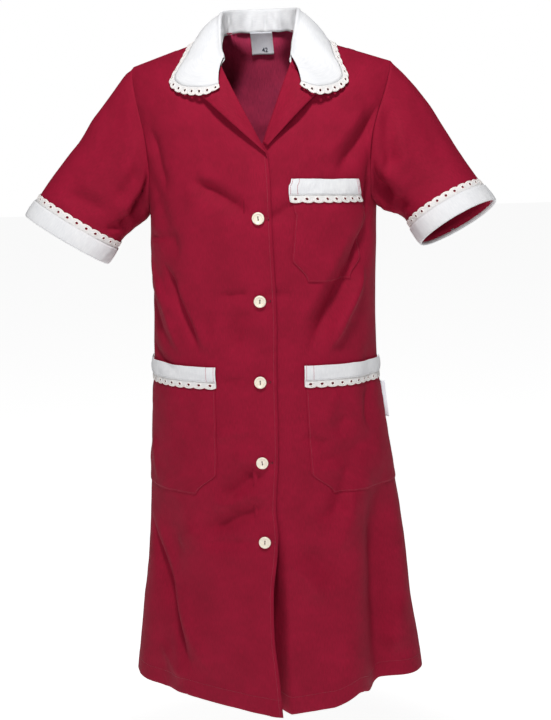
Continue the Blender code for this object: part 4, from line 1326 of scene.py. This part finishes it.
# The hole's rim, from inside its wall outward: radius, height and how much of it is stitch
HOLE_RINGS = (
    (HOLE, -0.9, 1), (HOLE, 0.2, 1), (HOLE + 0.3, 0.6, 1), (HOLE_RIM - 0.6, 0.55, 1), (HOLE_RIM, 0.0, 0.3),
)


def eyelet_cloth():
    """Batiste and satin stitch, with painted shade between the stitch's threads: the stitch attribute says where,
    the UV map is mm within a scallop.
    """
    finish, tree, shader = principled("embroidered_eyelet_batiste")

    def reckon(operation, a, b=0):
        """A node that works out one value."""
        return add(tree, "ShaderNodeMath", {0: a, 1: b}, operation=operation)

    spot = add(tree, "ShaderNodeUVMap", uv_map="cloth")
    along, up = add(tree, "ShaderNodeSeparateXYZ", {"Vector": spot}).outputs[:2]
    aside, above = reckon("SUBTRACT", along, SCALLOP / 2), reckon("SUBTRACT", up, HOLE_UP)
    rim_thread = reckon("SINE", reckon("MULTIPLY", reckon("ARCTAN2", above, aside), 24))
    edge_thread = reckon("SINE", reckon("MULTIPLY", along, 2 * math.pi / SATIN_THREAD))
    reach = reckon("ADD", reckon("MULTIPLY", aside, aside), reckon("MULTIPLY", above, above))
    near = reckon("LESS_THAN", reach, HOLE_RIM**2)
    thread = add(tree, "ShaderNodeMix", {"Factor": near, "A": edge_thread, "B": rim_thread}, data_type="FLOAT")
    stitch = add(tree, "ShaderNodeAttribute", attribute_name="stitch").outputs["Fac"]
    raised = reckon("MULTIPLY", thread, stitch)
    warp, weft = (reckon("SINE", reckon("MULTIPLY", way, BATISTE)) for way in (along, up))
    height = reckon("ADD", reckon("MULTIPLY", warp, weft), raised)
    bump = add(tree, "ShaderNodeBump", {"Height": height, "Strength": 0.35, "Distance": 0.2 * MM})
    tree.links.new(bump.outputs["Normal"], shader.inputs["Normal"])
    tone = add(tree, "ShaderNodeMix", {"Factor": stitch, "A": linear(TRIM_GROUND), "B": linear(TRIM_SATIN)},
               data_type="RGBA")
    # Painted shade: the trim's colour is darkened to 0.86 in the low places between the satin stitch's raised
    # threads
    stitch_painted_shade = add(tree, "ShaderNodeMapRange", {"Value": raised, "From Min": -1, "To Min": 0.86})
    mixed = add(tree, "ShaderNodeMix", {"Factor": 1.0, "A": tone.outputs["Result"], "B": stitch_painted_shade},
                data_type="RGBA", blend_type="MULTIPLY")
    tree.links.new(mixed.outputs["Result"], shader.inputs["Base Color"])
    shader.inputs["Roughness"].default_value = 0.75
    shader.inputs["Sheen Weight"].default_value = 0.1
    return finish


eyelet = eyelet_cloth()


def scallop_outline():
    """One scallop's outline in millimetres, anticlockwise from its lower left corner, in 24 steps."""
    notch = TRIM - SCALLOP_DEPTH
    outline = [(SCALLOP * k / 5, -TRIM_TUCK) for k in range(5)]
    outline += [(SCALLOP, -TRIM_TUCK + (notch + TRIM_TUCK) * k / 4) for k in range(4)]
    for k in range(11):
        along = 1 - k / 11
        outline.append((SCALLOP * along, notch + SCALLOP_DEPTH * math.sin(math.pi * along) ** 0.6))
    return outline + [(0, notch - (notch + TRIM_TUCK) * k / 4) for k in range(4)]


def eyelet_trim(name, count, place, inside):
    """A run of scallops; place puts a point (share along it, millimetres across it, height) on the smock."""
    outline = scallop_outline()
    bm = bmesh.new()
    cloth_map = bm.loops.layers.uv.new("cloth")
    stitch = bm.verts.layers.float.new("stitch")
    steps, rings = len(outline), len(HOLE_RINGS)
    middle = Vector((SCALLOP / 2, HOLE_UP))
    for tile in range(count):
        before = set(bm.verts)
        bmesh.ops.create_grid(bm, x_segments=steps, y_segments=rings + 2, size=0.5)
        spots = {}
        for vert in bm.verts:
            if vert in before:
                continue
            k = round((vert.co.x + 0.5) * steps) % steps
            ring = round((vert.co.y + 0.5) * (rings + 2))
            edge = Vector(outline[k])
            way = (edge - middle).normalized()
            if ring < rings:
                radius, height, stitched = HOLE_RINGS[ring]
                spots[vert] = middle + way * radius
            else:
                crest = k in range(9, 21)
                start = middle + way * HOLE_RIM
                inner = edge - way * min(SATIN_EDGE, 0.6 * (edge - start).length)
                spots[vert] = (start.lerp(inner, 0.6), inner, edge)[ring - rings]
                height = (0, 0.35, 0)[ring - rings] if crest else 0
                stitched = (0, 0.9, 1)[ring - rings] if crest else 0
            vert[stitch] = stitched
            vert.co = place((tile + spots[vert].x / SCALLOP) / count, spots[vert].y, height) * MM
        for face in bm.faces:
            if face.verts[0] in spots:
                for loop in face.loops:
                    loop[cloth_map].uv = spots[loop.vert]
    bmesh.ops.remove_doubles(bm, verts=bm.verts, dist=0.02 * MM)
    bmesh.ops.recalc_face_normals(bm, faces=bm.faces)
    piece = walled(name, bm, inside, eyelet, TRIM_WALL)
    return piece


for name, shape in POCKETS.items():

    def below_band(along, across, height, shape=shape):
        """A place on the trim below a pocket's band."""
        wave = 0.5 * crumple(along * 130, across, shape.top / 20, 14) * across / TRIM
        return band_place(shape, along, BAND + across, 2.35 + height + wave)

    piece = eyelet_trim(f"cloth_{name}_trim", shape.scallops, below_band, Vector((0, 0, shape.top)))
    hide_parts(f"{name}_trim")

CUFF_SCALLOPS = 27
for name, shape in SLEEVES.items():

    def above_cuff(along, across, height, shape=shape):
        """A place on the trim above a cuff."""
        angle = 2 * math.pi * along
        wave = 0.4 * crumple(along * 300, across, shape.side, 14) * across / TRIM
        return opening_point(shape, angle, CUFF + across * CUFF_TRIM / TRIM, 1.3 + height + wave)

    piece = eyelet_trim(f"cloth_cuff_trim_{name}", CUFF_SCALLOPS, above_cuff, Vector(shape.middle))
    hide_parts(f"cuff_trim_{name}")

collar_track = []
for k in range(-steps, steps + 1):
    side = 1 if k >= 0 else -1
    station = abs(k) / COLLAR_STEPS
    at, drawn = collar_at(station, side), drawn_left(station, side)
    edge = moved_out(yoke, side * at.edge_out, at.edge_over, at.lift - 0.3) + drawn
    rim = moved_out(yoke, side * at.trim_out, at.trim_over, at.trim_lift) + drawn
    collar_track.append((edge, rim))
track_ways = lengths([rim for edge, rim in collar_track])


def along_collar(along, across, height):
    """A place on the trim round the collar's edge."""
    n, share = stretch(track_ways, along * track_ways[-1])
    edge, rim = (a.lerp(b, share) for a, b in zip(collar_track[n], collar_track[n + 1]))
    ahead = collar_track[n + 1][1] - collar_track[n][1]
    normal = ahead.cross(rim - edge).normalized()
    if normal.dot(edge - body_core(edge)) < 0:
        normal.negate()
    wave = 0.5 * crumple(along * 640, across, 21, 16) * across / TRIM
    return edge.lerp(rim, across / TRIM) + normal * (height + wave)


piece = eyelet_trim("cloth_collar_trim", round(track_ways[-1] / SCALLOP), along_collar, COLLAR_INSIDE)
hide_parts("collar_trim")


# --- The buttons -------------------------------------------------------------------------------------------------
# Five cast-resin buttons, 17 mm, in a warm cream, turned with a raised rim, each sewn on by dark thread through two
# holes. Every one comes up through a satin-stitched buttonhole that lies across the front.

BUTTON_CREAM = "ece4d4"
BUTTON_CLOUD = "ddd3bf"
THREAD_DARK = "4a2a2c"
THREAD_CRIMSON = "8c1430"
THREAD_WHITE = "c9c9cd"
THREAD_TACK = "b03050"
BUTTON_RADIUS = 8.65
BUTTON_TOP = -246
BUTTON_PITCH = 116
BUTTON_COUNT = 5
BUTTON_HOLE = 1.0
BUTTON_HOLE_OUT = 2.1  # each hole's distance from the middle
BUTTON_TURNS = (4, -7, 2, 9, -3)  # degrees that each sits turned
# Half of a button's section, from the middle of its face round to its back: radius (rim at 9) and height
BUTTON_PROFILE = (
    (0, 1.75), (2.2, 1.72), (4.6, 1.75), (5.9, 2.05), (6.6, 2.75), (7.3, 3.0), (8.1, 2.85),
    (8.75, 2.3), (9, 1.6), (8.75, 0.8), (8.0, 0.25), (6.8, 0.0), (0, 0.0),
)


def cast_resin():
    """Polyester resin, cast and tumbled: clouded cream with a soft polish."""
    finish, tree, shader = principled("cast_resin_cream")
    place = add(tree, "ShaderNodeTexCoord").outputs["Object"]
    cloud = add(tree, "ShaderNodeTexNoise", {"Vector": place, "Scale": 190, "Detail": 4, "Roughness": 0.6})
    tone = add(tree, "ShaderNodeMix", {"Factor": cloud, "A": linear(BUTTON_CREAM), "B": linear(BUTTON_CLOUD)},
               data_type="RGBA")
    tree.links.new(tone.outputs["Result"], shader.inputs["Base Color"])
    wear = add(tree, "ShaderNodeTexNoise", {"Vector": place, "Scale": 900, "Detail": 2})
    dull = add(tree, "ShaderNodeMapRange", {"Value": wear, "To Min": 0.25, "To Max": 0.45})
    tree.links.new(dull.outputs["Result"], shader.inputs["Roughness"])
    shader.inputs["IOR"].default_value = 1.55
    shader.inputs["Subsurface Weight"].default_value = 0.1
    shader.inputs["Subsurface Radius"].default_value = (2 * MM, 1.5 * MM, MM)
    return finish


def spun_thread(name, colour):
    """Two-ply polyester sewing thread, with a fine twist."""
    finish, tree, shader = principled(name)
    place = add(tree, "ShaderNodeTexCoord").outputs["Object"]
    twist = add(tree, "ShaderNodeTexWave", {"Vector": place, "Scale": 900, "Distortion": 1},
                bands_direction="DIAGONAL").outputs["Fac"]
    low = [c * 0.8 for c in linear(colour)[:3]] + [1]
    tone = add(tree, "ShaderNodeMix", {"Factor": twist, "A": low, "B": linear(colour)}, data_type="RGBA")
    tree.links.new(tone.outputs["Result"], shader.inputs["Base Color"])
    shader.inputs["Roughness"].default_value = 0.6
    shader.inputs["Sheen Weight"].default_value = 0.2
    return finish


resin = cast_resin()
thread_dark = spun_thread("dark_button_thread", THREAD_DARK)
thread_crimson = spun_thread("crimson_sewing_thread", THREAD_CRIMSON)
thread_white = spun_thread("white_sewing_thread", THREAD_WHITE)
thread_tack = spun_thread("red_tacking_thread", THREAD_TACK)


def thread_line(name, runs, finish, thick):
    """Thread laid along runs of points, as one curve piece."""
    line = bpy.data.curves.new(name, "CURVE")
    line.dimensions = "3D"
    line.bevel_depth = thick / 2 * MM
    line.bevel_resolution = 1
    line.use_fill_caps = True
    for run in runs:
        spline = line.splines.new("POLY")
        spline.points.add(len(run) - 1)
        for point, spot in zip(spline.points, run):
            point.co = (*(spot * MM), 1)
    line.materials.append(finish)
    piece = placed(name, line)
    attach(piece, "root")
    return piece


def turned_button(name):
    """A button's mesh: a profile spun about Z, with its two holes cut through."""
    bm = bmesh.new()
    spots = [bm.verts.new((r / 9 * BUTTON_RADIUS * MM, 0, h * MM)) for r, h in BUTTON_PROFILE]
    edges = [bm.edges.new(pair) for pair in zip(spots, spots[1:])]
    bmesh.ops.spin(bm, geom=[*spots, *edges], cent=(0, 0, 0), axis=(0, 0, 1), angle=2 * math.pi, steps=40,
                   use_merge=True)
    bmesh.ops.remove_doubles(bm, verts=bm.verts, dist=0.001 * MM)
    bmesh.ops.recalc_face_normals(bm, faces=bm.faces)
    blank = placed(name, meshed(name, bm, resin))
    bm = bmesh.new()
    for hand in (-1, 1):
        where = Matrix.Translation((0, hand * BUTTON_HOLE_OUT * MM, 1.5 * MM))
        bmesh.ops.create_cone(bm, cap_ends=True, segments=20, radius1=BUTTON_HOLE * MM, radius2=BUTTON_HOLE * MM,
                              depth=6 * MM, matrix=where)
    drill = placed("drill", meshed("drill", bm))
    cut = blank.modifiers.new("holes", "BOOLEAN")
    cut.operation = "DIFFERENCE"
    cut.solver = "EXACT"
    cut.object = drill
    drilled = final_mesh(blank)
    bpy.data.objects.remove(drill)
    drilled.shade_smooth()
    drilled.set_sharp_from_angle(angle=math.radians(40))
    return drilled


def final_mesh(maker):
    """The mesh that an object comes to with its modifiers; the object itself is removed."""
    bpy.context.view_layer.update()
    mesh = bpy.data.meshes.new_from_object(maker.evaluated_get(bpy.context.evaluated_depsgraph_get()))
    bpy.data.objects.remove(maker)
    return mesh


def button_x(z):
    """How far to the side a button sits, by its height."""
    return 6 - 7.5 * smooth((BUTTON_TOP - z) / 300)


drilled = turned_button("drilled_button")
for number in range(BUTTON_COUNT):
    z = BUTTON_TOP - number * BUTTON_PITCH
    x = button_x(z)
    seat = off_front(-1, (x, z), x, z, 1)
    facing = off_front(-1, (x, z), x, z, 10) - seat
    turned = facing.normalized().to_track_quat("Z", "Y").to_matrix().to_4x4()
    turned = turned @ Matrix.Rotation(math.radians(BUTTON_TURNS[number]), 4, "Z")
    place = Matrix.Translation(seat * MM) @ turned
    mesh = drilled.copy()
    mesh.transform(place)
    piece = placed(f"resin_button_{number + 1}", mesh)
    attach(piece, "root")
    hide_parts(f"button_{number + 1}")
    out = BUTTON_HOLE_OUT
    runs = [[(strand, -out, 1.2), (strand, -out, 1.9), (strand * 1.5, -out * 0.6, 2.2), (strand, 0, 2.28),
             (strand * 1.5, out * 0.6, 2.2), (strand, out, 1.9), (strand, out, 1.2)]
            for strand in (-0.25, 0.05, 0.3)]
    runs.append([(0.2 * hand, out * hand, h) for hand, h in ((-1, 1.4), (-0.3, -0.6), (0.3, -1.6), (1, 1.4))])
    runs = [[place @ (Vector(spot) * MM) / MM for spot in run] for run in runs]
    piece = thread_line(f"button_thread_{number + 1}", runs, thread_dark, 0.5)
bpy.data.meshes.remove(drilled)

BUTTONHOLE = 21
BUTTONHOLE_HALF = 1.6
BUTTONHOLE_BESIDE = 4.5  # its middle lies this far beside the button's
BUTTONHOLE_STITCHES = 76
for number in range(BUTTON_COUNT):
    z = BUTTON_TOP - number * BUTTON_PITCH
    x = button_x(z)
    far = BUTTONHOLE / 2 - BUTTONHOLE_HALF
    run = []
    for k in range(BUTTONHOLE_STITCHES + 1):
        around = 2 * math.pi * k / BUTTONHOLE_STITCHES
        for rim, out in ((0.35, 0.35), (1.0, 0.45)):
            shift_x = math.copysign(far, math.cos(around)) * min(1, abs(math.cos(around)) * 3)
            shift_x += rim * BUTTONHOLE_HALF * math.cos(around)
            shift_z = rim * BUTTONHOLE_HALF * power(math.sin(around), 0.5)
            run.append(off_front(-1, (x, z), x + BUTTONHOLE_BESIDE + shift_x, z + shift_z, out))
    piece = thread_line(f"buttonhole_{number + 1}", [run], thread_crimson, 0.45)


# --- The sewing --------------------------------------------------------------------------------------------------
# Lockstitch in polyester thread, ten or so to the inch: each stitch lies on the cloth and dips into it at both ends.
# Crimson rows hold the fronts, hems and pockets, white rows the bands.

STITCH = 2.7
STITCH_THICK = 0.34
STITCH_DIP = 0.3
TACK_THICK = 0.55
EDGE_STITCH = 5  # the row beside the front edge lies this far in
POCKET_STITCH = 2.2


def sewn(points, lift=0.1):
    """A run of lockstitch along (point, outward) pairs."""
    ways = lengths([point for point, outward in points])
    count = max(1, round(ways[-1] / STITCH))
    run = []
    for k in range(count):
        for part, height in ((0.04, -STITCH_DIP), (0.2, lift), (0.8, lift), (0.96, -STITCH_DIP)):
            n, share = stretch(ways, ways[-1] * (k + part) / count)
            spot, outward = (a.lerp(b, share) for a, b in zip(points[n], points[n + 1]))
            run.append(spot + outward * height)
    return run


def grid_run(rows, normals, places):
    """(point, outward) pairs at (row, column) places of a grid, which may lie between its points."""
    pairs = []
    for row, column in places:
        j, i = min(int(row), len(rows) - 2), min(int(column), len(normals[0]) - 2)
        cell = (j, i, row - j, column - i)
        pairs.append((blended(rows, *cell), blended(normals, *cell).normalized()))
    return pairs


HEM_ROW = next(k for k, row in enumerate(FINE) if row.z > HEM + HEM_TURNED)
LAPEL_ROW = next(k for k, row in enumerate(FINE) if row.z > -160)
for name, (rows, normals) in panels.items():
    runs = [sewn(grid_run(rows, normals, [(HEM_ROW, i) for i in range(FRONT_COLUMNS + 1)]))]
    if name == "right":
        front_row = [(j, EDGE_STITCH / (rows[j][1] - rows[j][0]).length) for j in range(1, LAPEL_ROW)]
        runs.append(sewn(grid_run(rows, normals, front_row)))
    piece = thread_line(f"front_stitches_{name}", runs, thread_crimson, STITCH_THICK)
runs = [sewn(grid_run(back_rows, back_normals, [(HEM_ROW, i) for i in range(2 * BACK_COLUMNS + 1)]))]
piece = thread_line("back_stitches", runs, thread_crimson, STITCH_THICK)

for name, shape in POCKETS.items():
    width = shape.flat[0] * 900
    a, b = POCKET_STITCH / width, POCKET_STITCH / (shape.top - shape.foot)
    path = [(a, up / 60) for up in range(60, 0, -1)] + [(a, b)]
    path += [(a + (1 - 2 * a) * k / 50, b) for k in range(1, 51)]
    if shape.both:
        path += [(1 - a, b + (1 - b) * k / 60) for k in range(1, 61)]

    def through(surface, spots, lift=0.1, shape=shape):
        """Stitches through a pocket or its band, at (share across, share up) places."""
        pairs = []
        for across, up in spots:
            near = surface(shape, across, up)
            pairs.append((near, (surface(shape, across, up, 1) - near).normalized()))
        return sewn(pairs, lift)

    runs = [through(pocket_place, path)]
    piece = thread_line(f"{name}_pocket_stitches", runs, thread_crimson, STITCH_THICK)
    runs = [through(on_band, [(k / 120, 0.08) for k in range(1, 120)], 0.15)]
    piece = thread_line(f"{name}_band_stitches", runs, thread_white, STITCH_THICK)
    tacks = [2.5 / width, 12 / width] + ([1 - 3 / width, 1 - 6 / width] if shape.both else [])
    runs = [through(on_band, [(across, k / 20) for k in range(21)], 0.15) for across in tacks]
    piece = thread_line(f"{name}_band_tacks", runs, thread_tack, TACK_THICK)


# --- The labels --------------------------------------------------------------------------------------------------
# A bare woven label hangs inside the back from the neck seam, with only the plain size number on it, and a bare
# folded tape tab is caught in the left side seam under the hip pocket's band.

LABEL_WHITE = "eceef2"
LABEL_SHADE = "dfe2ea"
LABEL_INK = "3a4152"
LABEL_HALF = 17
LABEL_TOP = 8.5
LABEL_LONG = 32.5
LABEL_CELLS = 16
SIZE_NUMBER = "42"
label_weave = woven("woven_satin_label", LABEL_WHITE, LABEL_SHADE, 0.5, 0.5, 0.1, 0.25)
label_ink = spun_thread("label_thread", LABEL_INK)


def label_place(x, z, out=0):
    """A point on the neck label, hanging free inside the back."""
    free = smooth((8 - z) / 34)
    curl = 0.6 * math.sin(x * 0.22) * free
    return moved_out(lambda x, z: body(180 - turn_at(x, z), z), x, z, -3.2 - 1.2 * free - curl - out)


rows = []
for j in range(LABEL_CELLS + 1):
    z = LABEL_TOP - LABEL_LONG * j / LABEL_CELLS
    rows.append([label_place(-1.5 + LABEL_HALF * (2 * i / LABEL_CELLS - 1), z) for i in range(LABEL_CELLS + 1)])
piece = cloth("cloth_neck_label", rows, Vector((1, 900, -10)), label_weave, 0.35)
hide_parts("neck_label")

number_curve = bpy.data.curves.new("size_number", "FONT")
number_curve.body = SIZE_NUMBER
number_curve.size = 9 * MM
number_curve.align_x = "CENTER"
number_curve.extrude = 0.08 * MM
number_curve.offset = 0.22 * MM
number_mesh = final_mesh(placed("size_number_form", number_curve))
for vert in number_mesh.vertices:
    vert.co = label_place(2 + vert.co.x / MM, -20 + vert.co.y / MM, 0.2 + vert.co.z / MM) * MM
number_mesh.materials.clear()
number_mesh.materials.append(label_ink)
piece = placed("size_number", number_mesh)
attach(piece, "root")

TAB_TOP = -506
TAB_FOOT = -560
TAB_REACH = 8
TAB_CELLS = (6, 24)
rows = []
for j in range(TAB_CELLS[1] + 1):
    down = j / TAB_CELLS[1]
    seam = body(90, TAB_TOP + (TAB_FOOT - TAB_TOP) * down)
    reach = TAB_REACH * (0.8 + 0.2 * (1 - down))
    curl = 1.6 * math.sin(down * 5) + 1.2 * (1 - down) ** 3
    outs = [i / TAB_CELLS[0] for i in range(TAB_CELLS[0] + 1)]
    rows.append([seam + Vector((0.6 + reach * out, 0.6 - 1.5 * out + curl * out, -0.5 * out)) for out in outs])
piece = cloth("cloth_side_tab", rows, Vector((0, 40, -530)), label_weave, 0.6)
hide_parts("side_label")


# --- The camera and the light ------------------------------------------------------------------------------------
# The photograph's view: a long lens a little above the chest and to the wearer's left, tipped down, in soft even
# studio light on white.

VIEW_TURN = 6.0
VIEW_DISTANCE = 2.10
VIEW_HEIGHT = -0.03
VIEW_PITCH = -11.9
VIEW_ROLL = 2.2
VIEW_SIDESTEP = 0.009
FOCAL_PX = 1436
FRAME_HEIGHT_PX = 720
SENSOR = 36
AMBIENT = 0.05

turn, pitch, roll = (math.radians(v) for v in (VIEW_TURN, VIEW_PITCH, VIEW_ROLL))
level_ahead = Vector((-math.sin(turn), math.cos(turn), 0))
level_right = Vector((math.cos(turn), math.sin(turn), 0))
ahead = level_ahead * math.cos(pitch) + Vector((0, 0, 1)) * math.sin(pitch)
above = Vector((0, 0, 1)) * math.cos(pitch) - level_ahead * math.sin(pitch)
right = level_right * math.cos(roll) - above * math.sin(roll)
above = level_right * math.sin(roll) + above * math.cos(roll)
lens = bpy.data.cameras.new("studio_camera")
lens.sensor_width = SENSOR
lens.lens = FOCAL_PX / FRAME_HEIGHT_PX * SENSOR
camera = placed("studio_camera", lens)
place = Matrix((right, above, -ahead)).transposed().to_4x4()
place.translation = -level_ahead * VIEW_DISTANCE + Vector((0, 0, VIEW_HEIGHT)) + level_right * VIEW_SIDESTEP
camera.matrix_world = place
bpy.context.scene.camera = camera

world = bpy.data.worlds.new("white_studio")
world.use_nodes = True
sky = world.node_tree
sky.nodes["Background"].inputs["Color"].default_value = (1, 1, 1, 1)
sky.nodes["Background"].inputs["Strength"].default_value = AMBIENT
seen = add(sky, "ShaderNodeBackground", {"Color": (1, 1, 1, 1), "Strength": 1.0})
ray = add(sky, "ShaderNodeLightPath")
either = add(sky, "ShaderNodeMixShader", {0: ray.outputs["Is Camera Ray"], 1: sky.nodes["Background"], 2: seen})
sky.links.new(either.outputs[0], sky.nodes["World Output"].inputs["Surface"])
bpy.context.scene.world = world
bpy.context.scene.view_settings.view_transform = "Standard"


def softbox(name, spot, aim, size, watts):
    """A soft square light."""
    light = bpy.data.lights.new(name, "AREA")
    light.shape = "SQUARE"
    light.size = size
    light.energy = watts
    lamp = placed(name, light)
    lamp.matrix_world = (Vector(aim) - Vector(spot)).to_track_quat("-Z", "Y").to_matrix().to_4x4()
    lamp.matrix_world.translation = Vector(spot)


softbox("key_light", (0.12, -1.15, 1.55), (0, 0, -0.3), size=0.3, watts=47)
softbox("front_fill", (-0.25, -2.6, 0.3), (0, 0, -0.4), size=0.6, watts=11.5)

pale, tree, shader = principled("pale_studio_floor")
shader.inputs["Base Color"].default_value = (0.9, 0.9, 0.9, 1)
shader.inputs["Roughness"].default_value = 0.9
shader.inputs["Emission Color"].default_value = (1, 1, 1, 1)
shader.inputs["Emission Strength"].default_value = 0.9
bm = bmesh.new()
bmesh.ops.create_grid(bm, x_segments=1, y_segments=1, size=12)
bmesh.ops.translate(bm, verts=bm.verts, vec=(0, 0, -1.5))
floor = placed("studio_floor", meshed("studio_floor", bm, pale))
